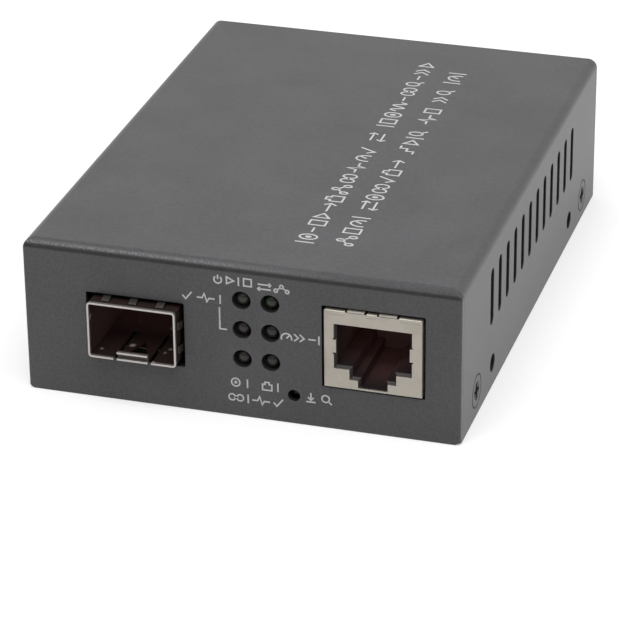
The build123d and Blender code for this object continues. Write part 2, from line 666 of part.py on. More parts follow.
def contact_xs():
    """Centres of the edge connector's contacts."""
    first = CAGE_X - (CONTACT_COUNT - 1) * CONTACT_PITCH / 2
    return [first + i * CONTACT_PITCH for i in range(CONTACT_COUNT)]


def make_sfp_contacts():
    """Spring contacts in grooves above and below the card slot."""
    beams = []
    for x in contact_xs():
        for side in (-1, 1):
            z = CARD_SLOT_Z + side * (CARD_SLOT_HEIGHT / 2 + CONTACT_THICK / 2)
            beam = block(x - CONTACT_WIDTH / 2, x + CONTACT_WIDTH / 2, CONNECTOR_FRONT + 2 * CONTACT_THICK,
                         CONNECTOR_FRONT + CARD_SLOT_DEPTH, z - CONTACT_THICK / 2, z + CONTACT_THICK / 2)
            beams.append(beam)
    return group(beams)


def plug_profile(inset, bottom):
    """Stepped plug outline in (x, z), centred on the jack, each wall moved inwards by an inset."""
    half = PLUG_WIDTH / 2 - inset
    step = PLUG_STEP_WIDTH / 2 - inset
    notch = PLUG_NOTCH_WIDTH / 2 - inset
    shoulder = PLUG_SHOULDER + inset
    ledge = PLUG_STEP + inset
    right = [(notch, bottom), (notch, ledge), (step, ledge), (step, shoulder),
             (half, shoulder), (half, PLUG_TOP)]
    left = [(-x, z) for x, z in reversed(right)]
    return Pos(JACK_X, 0) * outline(*right, *left)


def make_jack_shield():
    """Folded shield of the network jack with its stepped opening, side nicks and lifted top tabs."""
    half = JACK_WIDTH / 2
    shell = block(JACK_X - half, JACK_X + half, JACK_FRONT, JACK_BACK, BOARD_TOP, JACK_TOP)
    shell = fillet(shell.edges().filter_by(Axis.Y).group_by(Axis.Z)[-1], JACK_WALL)
    shell = fillet(shell.edges().filter_by(Axis.X).group_by(Axis.Z)[-1].sort_by(Axis.Y)[0], JACK_MOUTH_R)
    shell -= block(JACK_X - half + JACK_WALL, JACK_X + half - JACK_WALL, JACK_FRONT + JACK_WALL,
                   JACK_BACK - JACK_WALL, BOARD_TOP - JACK_WALL, JACK_TOP - JACK_WALL)
    shell -= along_y(plug_profile(0, PLUG_NOTCH), JACK_FRONT - JACK_WALL, JACK_FRONT + 2 * JACK_WALL)
    z_seam = JACK_TOP - 2 * JACK_WALL
    shell -= block(JACK_X - half, JACK_X + half, JACK_FRONT - JACK_WALL, JACK_FRONT + JACK_SEAM,
                   z_seam - JACK_SEAM, z_seam)
    for side in (-1, 1):
        edge = JACK_X + side * PLUG_WIDTH / 2
        x0, x1 = sorted((edge - side * NICK_REACH, edge + side * JACK_WALL))
        shell += block(x0, x1, JACK_FRONT, JACK_FRONT + JACK_WALL, NICK_Z, NICK_Z + NICK_HEIGHT)
        x0, x1 = sorted((edge - side * NICK_REACH, edge + side * NICK_RELIEF / 2))
        for z in (NICK_Z - NICK_RELIEF, NICK_Z + NICK_HEIGHT):
            shell -= block(x0, x1, JACK_FRONT - JACK_WALL, JACK_FRONT + 2 * JACK_WALL, z, z + NICK_RELIEF)
    for start, width in JACK_TABS:
        x0 = JACK_X + start
        x1 = x0 + width
        y1 = JACK_FRONT + JACK_TAB_LENGTH
        shell -= block(x0 - JACK_SLIT, x1 + JACK_SLIT, JACK_FRONT - JACK_WALL, y1,
                       JACK_TOP - 2 * JACK_WALL, JACK_TOP + JACK_WALL)
        shell += block(x0 - JACK_SLIT, x1 + JACK_SLIT, JACK_FRONT, JACK_FRONT + JACK_WALL,
                       JACK_TOP - 3 * JACK_WALL, JACK_TOP - JACK_WALL + JACK_TAB_LIFT / 2)
        tab = outline((JACK_FRONT, JACK_TOP - JACK_WALL + JACK_TAB_LIFT), (y1, JACK_TOP - JACK_WALL),
                      (y1 + JACK_WALL, JACK_TOP - JACK_WALL), (y1 + JACK_WALL, JACK_TOP), (y1, JACK_TOP),
                      (JACK_FRONT, JACK_TOP + JACK_TAB_LIFT))
        shell += along_x(tab, x0, x1)
    x_notch = JACK_X + JACK_TABS[1][0] - JACK_SLIT
    z_notch = JACK_TOP + JACK_WALL
    notch = outline((x_notch - JACK_SLIT, z_notch), (x_notch + JACK_SLIT, z_notch),
                    (x_notch, JACK_TOP - JACK_NOTCH_DEPTH))
    return shell - along_y(notch, JACK_FRONT - JACK_WALL, JACK_FRONT + 2 * JACK_WALL)


def wire_xs():
    """Centres of the network jack's contact wires."""
    first = JACK_X - (WIRE_COUNT - 1) * WIRE_PITCH / 2
    return [first + i * WIRE_PITCH for i in range(WIRE_COUNT)]


def make_jack_body():
    """Moulded insert of the network jack with its stepped cavity, wire grooves and pegs."""
    gap = JACK_WALL + JACK_FIT
    half = JACK_WIDTH / 2 - gap
    y0 = JACK_FRONT + gap
    y1 = JACK_BACK - gap
    top = JACK_TOP - gap - JACK_WALL
    body = block(JACK_X - half, JACK_X + half, y0, y1, BOARD_TOP, top)
    body -= along_y(plug_profile(PLUG_INSET, PLUG_NOTCH), y0 - 1, y0 + PLUG_DEPTH)
    body -= loft([facing_front(y0) * plug_profile(0, PLUG_NOTCH),
                  facing_front(y0 + PLUG_INSET) * plug_profile(PLUG_INSET, PLUG_NOTCH)], ruled=True)
    for x in wire_xs():
        body -= block(x - WIRE_SIZE, x + WIRE_SIZE, y0 + WIRE_FROM_MOUTH - WIRE_SIZE, y0 + PLUG_DEPTH,
                      PLUG_TOP - WIRE_SIZE, PLUG_TOP + 2 * WIRE_SIZE)
    for x, y in jack_peg_places():
        body += rod_z(x, y, JACK_PEG_R, BOARD_BOTTOM - PIN_BELOW, BOARD_TOP + JACK_WALL)
    return body


def make_jack_contacts():
    """Eight sprung wires that hang from the roof of the plug cavity and slope inwards."""
    y0 = JACK_FRONT + JACK_WALL + JACK_FIT + WIRE_FROM_MOUTH
    y_tip = y0 + WIRE_REACH
    z_root = PLUG_TOP + 2 * WIRE_SIZE
    z_tip = PLUG_TOP - WIRE_DROP
    half = WIRE_SIZE / 2
    profile = outline((y0, z_root - WIRE_SIZE), (y_tip, z_tip), (y_tip, z_tip + WIRE_SIZE),
                      (y0 + WIRE_SIZE, z_root), (y0 - half, z_root), (y0 - half, z_root - WIRE_SIZE))
    return group([along_x(profile, x - half, x + half) for x in wire_xs()])


def make_led(x, z):
    """One 3 mm light: domed lens with a flange at its back, recessed in its hole."""
    tip = FRONT + LED_RECESS
    lens = rod_y(x, z, LED_R, tip + LED_R, tip + LED_LENGTH) + Pos(x, tip + LED_R, z) * Sphere(LED_R)
    return lens + rod_y(x, z, LED_FLANGE_R, tip + LED_LENGTH - LED_FLANGE, tip + LED_LENGTH)


def make_led_holder(x):
    """Three-high moulded holder with a stepped bore for each light and a groove for its legs."""
    half = HOLDER_WIDTH / 2
    z_top = LED_FIRST_Z + (LED_ROWS - 1) * LED_PITCH_Z + HOLDER_TOP_WALL
    holder = block(x - half, x + half, HOLDER_FRONT, HOLDER_BACK, BOARD_TOP, z_top)
    holder = chamfer(holder.edges().filter_by(Axis.X).group_by(Axis.Z)[-1], HOLDER_GAP)
    flange = FRONT + LED_RECESS + LED_LENGTH - LED_FLANGE - LED_FIT
    for row in range(LED_ROWS):
        z = LED_FIRST_Z + row * LED_PITCH_Z
        holder -= rod_y(x, z, LED_R + LED_FIT, HOLDER_FRONT - 1, HOLDER_BACK + 1)
        holder -= rod_y(x, z, LED_FLANGE_R + LED_FIT, flange, HOLDER_BACK + 1)
    return holder


def make_led_leads():
    """Twelve bent legs, from the back of each light down through the board."""
    half = LEG_SIZE / 2
    y0 = FRONT + LED_RECESS + LED_LENGTH
    return group([
        block(x - half, x + half, y0, y + half, z - half, z + half)
        + block(x - half, x + half, y - half, y + half, BOARD_BOTTOM - LEG_BELOW, z + half)
        for x, y, z in leg_places()
    ])


def make_diag_switch_body():
    """Side-push switch body under the board, with the bore that its plunger slides in."""
    half = DIAG_BODY_WIDTH / 2
    body = block(DIAG_X - half, DIAG_X + half, DIAG_FRONT, DIAG_FRONT + DIAG_BODY_DEPTH,
                 BOARD_BOTTOM - DIAG_BODY_HEIGHT, BOARD_BOTTOM)
    return body - rod_y(DIAG_X, DIAG_Z, BUTTON_R + BUTTON_FIT, DIAG_FRONT - 1,
                        DIAG_FRONT + BUTTON_STEM + BUTTON_TRAVEL + BUTTON_FIT)


def make_diag_switch_cover():
    """Thin metal clip folded round the switch body's underside and sides."""
    half = DIAG_BODY_WIDTH / 2
    wall = DIAG_COVER_WALL
    low = BOARD_BOTTOM - DIAG_BODY_HEIGHT
    y0 = DIAG_FRONT + wall
    y1 = DIAG_FRONT + DIAG_BODY_DEPTH - wall
    clip = block(DIAG_X - half - wall, DIAG_X + half + wall, y0, y1, low - wall, BOARD_BOTTOM)
    return clip - block(DIAG_X - half, DIAG_X + half, y0 - 1, y1 + 1, low, BOARD_BOTTOM + 1)


def make_diag_button():
    """Plunger of the switch, with a domed end towards the hole in the front."""
    plunger = rod_y(DIAG_X, DIAG_Z, BUTTON_R, DIAG_FRONT - BUTTON_HEAD, DIAG_FRONT + BUTTON_STEM)
    return fillet(plunger.edges().group_by(Axis.Y)[0], BUTTON_ROUND)


def make_power_jack_body():
    """Moulded body of the power inlet with its barrel bore and pin terminal slots."""
    half = POWER_WIDTH / 2
    body = block(POWER_X - half, POWER_X + half, POWER_FRONT, POWER_FACE, BOARD_TOP, POWER_TOP)
    body = chamfer(body.edges().group_by(Axis.Y)[-1], POWER_BEVEL)
    body -= rod_y(POWER_X, BARREL_Z, BARREL_R, POWER_FACE - BARREL_DEPTH, POWER_FACE + 1)
    body -= rod_y(POWER_X, BARREL_Z, CENTRE_PIN_R, POWER_FRONT - 1, POWER_FACE)
    (x, y_pin), (_, y_blade) = power_terminal_places()
    width = TERMINAL_WIDTH / 2 + LEG_FIT
    body -= block(x - width, x + width, POWER_FRONT - 1, y_pin + TERMINAL_THICK / 2, 0, BARREL_Z)
    body -= block(x - width, x + width, y_blade - TERMINAL_THICK / 2 - LEG_FIT,
                  y_blade + TERMINAL_THICK / 2 + LEG_FIT, 0, BARREL_Z - BARREL_R + BLADE_LIFT)
    return body


def power_terminal(x, y, z_top):
    """Flat terminal from a contact down through the board."""
    half_w = TERMINAL_WIDTH / 2
    half_t = TERMINAL_THICK / 2
    return block(x - half_w, x + half_w, y - half_t, y + half_t, BOARD_BOTTOM - TERMINAL_BELOW, z_top)


def make_power_jack_pin():
    """Centre pin with a rounded tip and its terminal down through the board."""
    x, y = power_terminal_places()[0]
    tip = POWER_FACE - CENTRE_PIN_RECESS
    pin = rod_y(x, BARREL_Z, CENTRE_PIN_R, y - TERMINAL_THICK / 2, tip)
    pin = fillet(pin.edges().group_by(Axis.Y)[-1], CENTRE_PIN_ROUND)
    return pin + power_terminal(x, y, BARREL_Z)


def make_power_jack_spring():
    """Curved outer contact that lies along the bottom of the barrel bore, with its terminal."""
    x, y = power_terminal_places()[1]
    outer_r = BARREL_R - BLADE_LIFT / 2
    blade = CenterArc((0, 0), outer_r - BLADE_THICK / 2, -90 - BLADE_ARC / 2, BLADE_ARC)
    strip = Pos(x, BARREL_Z) * trace(blade, BLADE_THICK)
    spring = along_y(strip, POWER_FACE - BARREL_DEPTH + BLADE_THICK, POWER_FACE - BLADE_RECESS)
    return spring + power_terminal(x, y, BARREL_Z - outer_r + BLADE_THICK / 2)


def gull_leads(size, place, count):
    """Flat leads along both long sides of a package, down to the board."""
    width, depth, height = size
    x, y = place
    pitch = width / count
    z_lead = BOARD_TOP + height * LEAD_RISE
    leads = []
    for side in (-1, 1):
        root = y + side * (depth / 2 - PACKAGE_BEVEL)
        toe = y + side * (depth / 2 + LEAD_REACH)
        y0, y1 = sorted((root, toe))
        foot0, foot1 = sorted((toe, toe - side * LEAD_REACH / 2))
        for i in range(count):
            left = x - width / 2 + (i + (1 - LEAD_SHARE) / 2) * pitch
            right = left + LEAD_SHARE * pitch
            leads.append(block(left, right, y0, y1, z_lead, z_lead + CONTACT_THICK))
            leads.append(block(left, right, foot0, foot1, BOARD_TOP, z_lead + CONTACT_THICK))
    return leads


def make_magnetics():
    """Line transformer: a bevelled package with ten leads on each side."""
    body = on_board(MAGNETICS_SIZE, board_place(MAGNETICS_SHARE))
    body = chamfer(body.edges().group_by(Axis.Z)[-1], 2 * PACKAGE_BEVEL)
    return body + gull_leads(MAGNETICS_SIZE, board_place(MAGNETICS_SHARE), MAGNETICS_LEAD_COUNT)


def make_converter_chip():
    """Leadless square package with a marked corner."""
    x, y = board_place(CHIP_SHARE)
    width, depth, height = CHIP_SIZE
    chip = chamfer(on_board(CHIP_SIZE, board_place(CHIP_SHARE)).edges().group_by(Axis.Z)[-1], PACKAGE_BEVEL)
    mark_z = BOARD_TOP + height - PACKAGE_BEVEL / 2
    x -= width / 2 - PACKAGE_MARK_INSET
    y += depth / 2 - PACKAGE_MARK_INSET
    return chip - rod_z(x, y, PACKAGE_MARK_R, mark_z, mark_z + height)


def make_memory_chip():
    """Eight-lead memory package."""
    body = on_board(MEMORY_SIZE, board_place(MEMORY_SHARE))
    body = chamfer(body.edges().group_by(Axis.Z)[-1], PACKAGE_BEVEL)
    return body + gull_leads(MEMORY_SIZE, board_place(MEMORY_SHARE), MEMORY_LEAD_COUNT)


def make_crystals():
    """Two seam-sealed crystal cans, each on a wider ceramic foot."""
    width, depth, height = CRYSTAL_SIZE
    rim = 2 * CRYSTAL_RIM
    cans = []
    for place in map(board_place, CRYSTAL_SHARES):
        foot = on_board((width, depth, height / 2), place)
        cans.append(foot + on_board((width - rim, depth - rim, height), place))
    return group(cans)


def make_capacitors():
    """Three can capacitors, each with a bead near its foot."""
    r = CAPACITOR_R
    neck = r - CAN_BEAD
    can = turned((0, 0), (r, 0), (r, CAN_BEAD_Z - CAN_BEAD), (neck, CAN_BEAD_Z), (r, CAN_BEAD_Z + CAN_BEAD),
                 (r, CAPACITOR_HEIGHT - CAN_BEAD), (neck, CAPACITOR_HEIGHT), (0, CAPACITOR_HEIGHT))
    return group([Pos(x, y, BOARD_TOP) * can for x, y in map(board_place, CAPACITOR_SHARES)])


def make_power_inductor():
    """Shielded power inductor with cut corners and a round core top."""
    x, y = board_place(INDUCTOR_SHARE)
    body = on_board(INDUCTOR_SIZE, board_place(INDUCTOR_SHARE))
    body = chamfer(body.edges().filter_by(Axis.Z), INDUCTOR_CORNER)
    z_top = BOARD_TOP + INDUCTOR_SIZE[2]
    ring = rod_z(x, y, INDUCTOR_RING_R, z_top - PACKAGE_BEVEL, z_top + 1)
    return body - (ring - rod_z(x, y, INDUCTOR_RING_R - INDUCTOR_RING_WIDTH, BOARD_TOP, z_top + 2))


def make_regulators():
    """Two regulators with a heat tab on one side and three leads on the other."""
    reach = REGULATOR_SIZE[1] / 2 + TAB_REACH
    parts = []
    for x, y in map(board_place, REGULATOR_SHARES):
        body = chamfer(on_board(REGULATOR_SIZE, (x, y)).edges().group_by(Axis.Z)[-1], PACKAGE_BEVEL)
        body += on_board((REGULATOR_TAB, reach, TAB_THICK), (x, y + reach / 2))
        for i in (-1, 0, 1):
            body += on_board((REGULATOR_LEAD, reach, TAB_THICK), (x + i * REGULATOR_PITCH, y - reach / 2))
        parts.append(body)
    return group(parts)


def make_chip_components():
    """Rows of small chip resistors and capacitors."""
    return group([
        on_board(SMALL_SIZE, (x + (i - (SMALL_COUNT - 1) / 2) * SMALL_PITCH, y))
        for x, y in map(board_place, SMALL_SHARES)
        for i in range(SMALL_COUNT)
    ])


LED_NAMES = ("bottom_left", "bottom_right", "middle_left", "middle_right", "top_left", "top_right")

PIECES = {
    "cover": make_cover,
    "base": make_base,
    "cover_screws": make_cover_screws,
    "standoffs": make_standoffs,
    "board_screws": make_board_screws,
    "circuit_board": make_circuit_board,
    "sfp_cage": make_sfp_cage,
    "sfp_spring_collar": make_sfp_spring_collar,
    "sfp_connector": make_sfp_connector,
    "sfp_contacts": make_sfp_contacts,
    "jack_shield": make_jack_shield,
    "jack_body": make_jack_body,
    "jack_contacts": make_jack_contacts,
    "led_holder_left": lambda: make_led_holder(LED_X - LED_PITCH_X / 2),
    "led_holder_right": lambda: make_led_holder(LED_X + LED_PITCH_X / 2),
    "led_leads": make_led_leads,
    "diag_switch_body": make_diag_switch_body,
    "diag_switch_cover": make_diag_switch_cover,
    "diag_button": make_diag_button,
    "power_jack_body": make_power_jack_body,
    "power_jack_pin": make_power_jack_pin,
    "power_jack_spring": make_power_jack_spring,
    "magnetics": make_magnetics,
    "converter_chip": make_converter_chip,
    "memory_chip": make_memory_chip,
    "crystals": make_crystals,
    "capacitors": make_capacitors,
    "power_inductor": make_power_inductor,
    "regulators": make_regulators,
    "chip_components": make_chip_components,
}

os.makedirs("parts", exist_ok=True)
for name, make in PIECES.items():
    export_step(make(), f"parts/{name}.step")
for name, (x, z) in zip(LED_NAMES, led_places()):
    export_step(make_led(x, z), f"parts/led_{name}.step")
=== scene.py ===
"""Looks of a fibre media converter: finishes, printed marks, studio and camera over its frame."""

import logging
import math
from dataclasses import dataclass, field
from enum import Enum
from typing import Any, ClassVar, Sequence, Union

import bmesh
import bpy
from mathutils import Matrix, Vector
from mathutils.geometry import tessellate_polygon

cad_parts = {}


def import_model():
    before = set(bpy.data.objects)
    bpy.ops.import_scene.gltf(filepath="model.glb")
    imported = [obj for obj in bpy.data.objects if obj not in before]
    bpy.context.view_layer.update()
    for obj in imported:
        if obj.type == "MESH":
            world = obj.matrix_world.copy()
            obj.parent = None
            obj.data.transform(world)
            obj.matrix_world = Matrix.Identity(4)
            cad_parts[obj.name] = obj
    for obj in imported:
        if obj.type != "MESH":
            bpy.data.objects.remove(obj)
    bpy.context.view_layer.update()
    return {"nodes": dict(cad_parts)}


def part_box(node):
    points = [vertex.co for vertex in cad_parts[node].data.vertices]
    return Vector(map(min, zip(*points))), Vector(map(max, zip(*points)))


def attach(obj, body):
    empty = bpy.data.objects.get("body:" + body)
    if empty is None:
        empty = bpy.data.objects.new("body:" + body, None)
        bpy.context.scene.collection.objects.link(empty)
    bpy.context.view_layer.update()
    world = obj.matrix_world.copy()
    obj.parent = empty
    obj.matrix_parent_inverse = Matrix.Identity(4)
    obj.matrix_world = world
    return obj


MM = 0.001
LOG = logging.getLogger("converter")

Colour = tuple[float, float, float]
Point = tuple[float, float]
# The values at which a smooth step is 0 and 1
Span = tuple[float, float]
# How much of each pattern a blend holds
Shares = tuple[float, ...]
# What a shader socket can be fed with
Source = Union["Val", float, Sequence[float]]

# Axes of the cover's screws, which run from side to side, as (Y, Z) in millimetres
SCREWS = ((-36.15, 4.5), (38.25, 4.5))
# How many finer layers a noise has, and how much of each is left
PLAIN, SOFT, FINE, FINEST = 1.0, 2.0, 3.0, 4.0
NOISE_FALL = 0.6
# The sockets of a Mix node that are colours
MIX_FIRST, MIX_SECOND, MIX_RESULT = 6, 7, 2
# Rays that soften an edge
EDGE_RAYS = 6
# How far a normal turns away where an edge begins and where it is full
EDGE_TURN = (0.01, 0.16)
# Half sizes of a package without leads, larger than any piece, in metres
NO_LEADS = (1.0, 1.0)


class Val:
    """One output of a shader node, with arithmetic that adds Math nodes."""

    def __init__(self, sheet: "Sheet", node: bpy.types.Node, output: Union[int, str] = 0) -> None:
        """Keeps the output.

        Args:
            sheet: the node sheet that it is on.
            node: the node.
            output: the name or number of the output.
        """
        self.sheet = sheet
        self.node = node
        self.socket = node.outputs[output]

    def output(self, name: Union[int, str]) -> "Val":
        """Another output of the same node.

        Args:
            name: its name or number.

        Returns:
            That output.
        """
        return Val(self.sheet, self.node, name)

    def _calc(self, operation: str, first: Source, second: Source = 0.0) -> "Val":
        """Adds a Math node.

        Args:
            operation: the Math node's operation.
            first: its first value.
            second: its second value.

        Returns:
            The result.
        """
        return self.sheet.add("ShaderNodeMath", {"operation": operation}, {0: first, 1: second})

    def __add__(self, other: Source) -> "Val":
        """This plus another value."""
        return self._calc("ADD", self, other)

    def __radd__(self, other: Source) -> "Val":
        """Another value plus this."""
        return self._calc("ADD", other, self)

    def __sub__(self, other: Source) -> "Val":
        """This less another value."""
        return self._calc("SUBTRACT", self, other)

    def __rsub__(self, other: Source) -> "Val":
        """Another value less this."""
        return self._calc("SUBTRACT", other, self)

    def __mul__(self, other: Source) -> "Val":
        """This times another value."""
        return self._calc("MULTIPLY", self, other)

    def __rmul__(self, other: Source) -> "Val":
        """Another value times this."""
        return self._calc("MULTIPLY", other, self)

    def __truediv__(self, other: Source) -> "Val":
        """This over another value."""
        return self._calc("DIVIDE", self, other)

    def __rtruediv__(self, other: Source) -> "Val":
        """Another value over this."""
        return self._calc("DIVIDE", other, self)

    def __abs__(self) -> "Val":
        """This without its sign."""
        return self._calc("ABSOLUTE", self)

    def __or__(self, other: Source) -> "Val":
        """The larger of this and another value: either of two masks."""
        return self._calc("MAXIMUM", self, other)

    def __and__(self, other: Source) -> "Val":
        """The smaller of this and another value: both of two masks."""
        return self._calc("MINIMUM", self, other)

    def rise(self, low: float, high: float) -> "Val":
        """A smooth step.

        Args:
            low: the value at which it is 0.
            high: the value at which it is 1.

        Returns:
            The step, from 0 to 1.
        """
        return self.sheet.add(
            "ShaderNodeMapRange",
            {"interpolation_type": "SMOOTHSTEP"},
            {"Value": self, "From Min": low, "From Max": high},
        )

    def within(self, near: float, far: float) -> "Val":
        """How close this is to 0, from either side.

        Args:
            near: the distance from 0 up to which it is 1.
            far: the distance from which it is 0.

        Returns:
            The mask, from 0 to 1.
        """
        return 1.0 - abs(self).rise(near, far)


def squared(span: Span) -> Span:
    """Two lengths, squared."""
    return span[0] ** 2, span[1] ** 2


def blend(parts: Sequence[Val], shares: Sequence[float]) -> Val:
    """Adds patterns up, each by its share.

    Args:
        parts: the patterns.
        shares: how much of each.

    Returns:
        The sum.
    """
    total = parts[0] * shares[0]
    for part, share in zip(parts[1:], shares[1:]):
        total = total + part * share
    return total


class Sheet:
    """The node sheet of a material or of the world."""

    def __init__(self, owner: Union[bpy.types.Material, bpy.types.World], end: str) -> None:
        """Empties the owner's sheet and adds its output node.

        Args:
            owner: the material or the world.
            end: the type of the output node.
        """
        owner.use_nodes = True
        self.owner = owner
        self.tree = owner.node_tree
        self.tree.nodes.clear()
        self.out = self.tree.nodes.new(end)

    @classmethod
    def for_material(cls, name: str) -> "Sheet":
        """The empty sheet of a new material."""
        return cls(bpy.data.materials.new(name), "ShaderNodeOutputMaterial")

    def add(
        self,
        kind: str,
        settings: Union[dict[str, Any], None] = None,
        sockets: Union[dict[Union[int, str], Source], None] = None,
        output: Union[int, str] = 0,
    ) -> Val:
        """Adds a node.

        Args:
            kind: the node's type.
            settings: its settings, set first.
            sockets: a value or a link for each input, by name or number.
            output: the output that is wanted.

        Returns:
            That output.
        """
        node = self.tree.nodes.new(kind)
        for name, value in (settings or {}).items():
            setattr(node, name, value)
        for name, value in (sockets or {}).items():
            self.feed(node.inputs[name], value)
        return Val(self, node, output)

    def feed(self, socket: bpy.types.NodeSocket, value: Source) -> None:
        """Links or sets one input.

        Args:
            socket: the input.
            value: a link, a number, a vector or a colour.
        """
        if isinstance(value, Val):
            self.tree.links.new(value.socket, socket)
        elif isinstance(value, (int, float)):
            socket.default_value = float(value)
        else:
            wide = socket.type == "RGBA" and len(value) == 3
            socket.default_value = (*value, 1.0) if wide else tuple(value)

    def place(self) -> Val:
        """The point on the object, in metres."""
        return self.add("ShaderNodeTexCoord", output="Object")

    def stretched(self, scale: Sequence[float]) -> Val:
        """The point on the object, scaled along each axis."""
        return self.add("ShaderNodeMapping", sockets={"Vector": self.place(), "Scale": scale})

    def along(self, axis: int) -> Val:
        """One coordinate of the point on the object, in metres."""
        return self.add("ShaderNodeSeparateXYZ", sockets={0: self.place()}, output=axis)

    def away(self, axis: Point) -> Val:
        """How far the point lies from an axis that runs from side to side, squared.

        Args:
            axis: the axis's place along Y and Z, in millimetres.

        Returns:
            The squared distance, in square millimetres.
        """
        y = self.along(1) / MM - axis[0]
        z = self.along(2) / MM - axis[1]
        return y * y + z * z

    def noise(self, size: float, detail: float = SOFT, vector: Union[Val, None] = None) -> Val:
        """Soft noise.

        Args:
            size: the size of its blobs, in metres.
            detail: how many finer layers it has.
            vector: the point it is read at, if not the point on the object.

        Returns:
            The noise, from 0 to 1.
        """
        at = self.place() if vector is None else vector
        return self.add(
            "ShaderNodeTexNoise",
            sockets={"Vector": at, "Scale": 1 / size, "Detail": detail, "Roughness": NOISE_FALL},
        )

    def cells(self, size: float, feature: str = "F1") -> Val:
        """Cells of about one size.

        Args:
            size: the size of a cell, in metres.
            feature: which distance is measured in a cell.

        Returns:
            The distance, in cells.
        """
        sockets = {"Vector": self.place(), "Scale": 1 / size}
        return self.add("ShaderNodeTexVoronoi", {"feature": feature}, sockets, "Distance")

    def mix(self, first: Source, second: Source, share: Source) -> Val:
        """A colour between two.

        Args:
            first: the colour at 0.
            second: the colour at 1.
            share: how far towards the second.

        Returns:
            The colour.
        """
        sockets = {0: share, MIX_FIRST: first, MIX_SECOND: second}
        return self.add("ShaderNodeMix", {"data_type": "RGBA"}, sockets, MIX_RESULT)

    def soft_edge(self, radius: float) -> Val:
        """A normal that rounds sharp edges off.

        Args:
            radius: the radius of the rounding, in metres.

        Returns:
            The normal.
        """
        return self.add("ShaderNodeBevel", {"samples": EDGE_RAYS}, {"Radius": radius})

    def rims(self, radius: float) -> Val:
        """A mask of the sharp edges.

        Args:
            radius: how far from an edge it reaches, in metres.

        Returns:
            The mask, 1 on an edge and 0 on a face.
        """
        flat = self.add("ShaderNodeNewGeometry", output="Normal")
        bent = self.add(
            "ShaderNodeVectorMath",
            {"operation": "DOT_PRODUCT"},
            {0: flat, 1: self.soft_edge(radius)},
            output="Value",
        )
        return (1.0 - bent).rise(*EDGE_TURN)

    def relief(self, height: Source, depth: float, base: Union[Val, None] = None) -> Val:
        """A normal with fine relief.

        Args:
            height: the relief, from 0 to 1.
            depth: how deep it is, in metres.
            base: the normal that it is added to.

        Returns:
            The normal.
        """
        sockets: dict[Union[int, str], Source] = {"Height": height, "Distance": depth}
        if base is not None:
            sockets["Normal"] = base
        return self.add("ShaderNodeBump", sockets=sockets)

    def show(self, shader: Val) -> None:
        """Gives the owner a shader."""
        self.feed(self.out.inputs["Surface"], shader)

    def surface(self, sockets: dict[Union[int, str], Source]) -> None:
        """Adds the surface shader and gives it to the material."""
        self.show(self.add("ShaderNodeBsdfPrincipled", sockets=sockets))


@dataclass(frozen=True)
class Finish:
    """A surface finish, made into a material once and used wherever it is needed."""

    name: str
    roughness: float = 0.4
    swing: float = 0.2
    depth: float = 0.006 * MM
    edge: float = 0.1 * MM
    made: ClassVar[dict[str, bpy.types.Material]] = {}

    def material(self) -> bpy.types.Material:
        """The finish's material, drawn the first time that it is asked for.

        Returns:
            The material.
        """
        if self.name not in self.made:
            sheet = Sheet.for_material(self.name)
            self.draw(sheet)
            self.made[self.name] = sheet.owner
        return self.made[self.name]

    def matt(self, pattern: Val) -> Val:
        """Its roughness, which swings about its middle with a pattern."""
        return self.roughness + (pattern - 0.5) * self.swing

    def fine(self, sheet: Sheet, height: Val) -> Val:
        """Its normal, with a height as fine relief over softened edges."""
        return sheet.relief(height, self.depth, sheet.soft_edge(self.edge))

    def draw(self, sheet: Sheet) -> None:
        """Draws the finish's nodes.

        Args:
            sheet: the empty node sheet.
        """
        raise NotImplementedError


class Side(Enum):
    """Which way a sheet's outer face looks: up an axis, down it, or both ways."""

    UP = 1
    DOWN = -1
    BOTH = 0


@dataclass(frozen=True)
class Skin:
    """The outer face of a folded sheet, told from its inside by the centre lines of its bends."""

    axis: int
    side: Side
    core: float

    def beyond(self, sheet: Sheet) -> Val:
        """How far a point lies outside the bend's centre line, squared.

        Args:
            sheet: the node sheet.

        Returns:
            The squared distance, in square millimetres.
        """
        at = sheet.along(self.axis)
        if self.side is Side.BOTH:
            at = abs(at)
        elif self.side is Side.DOWN:
            at = 0.0 - at
        out = ((at - self.core) / MM) | 0.0
        return out * out


COVER_SIDES = Skin(0, Side.BOTH, 33.4 * MM)
COVER_FRONT = Skin(1, Side.DOWN, 44.35 * MM)
COVER_TOP = Skin(2, Side.UP, 24.4 * MM)
BASE_REAR = Skin(1, Side.UP, 46.2 * MM)
BASE_UNDER = Skin(2, Side.DOWN, -2.6 * MM)


@dataclass
class Layer:
    """A coat as it builds up, each part of it still open to change, such as painted highlight and painted
    shade.
    """

    grain: Val
    unshaded_coat: Val
    colour: Val
    roughness: Val
    normal: Val


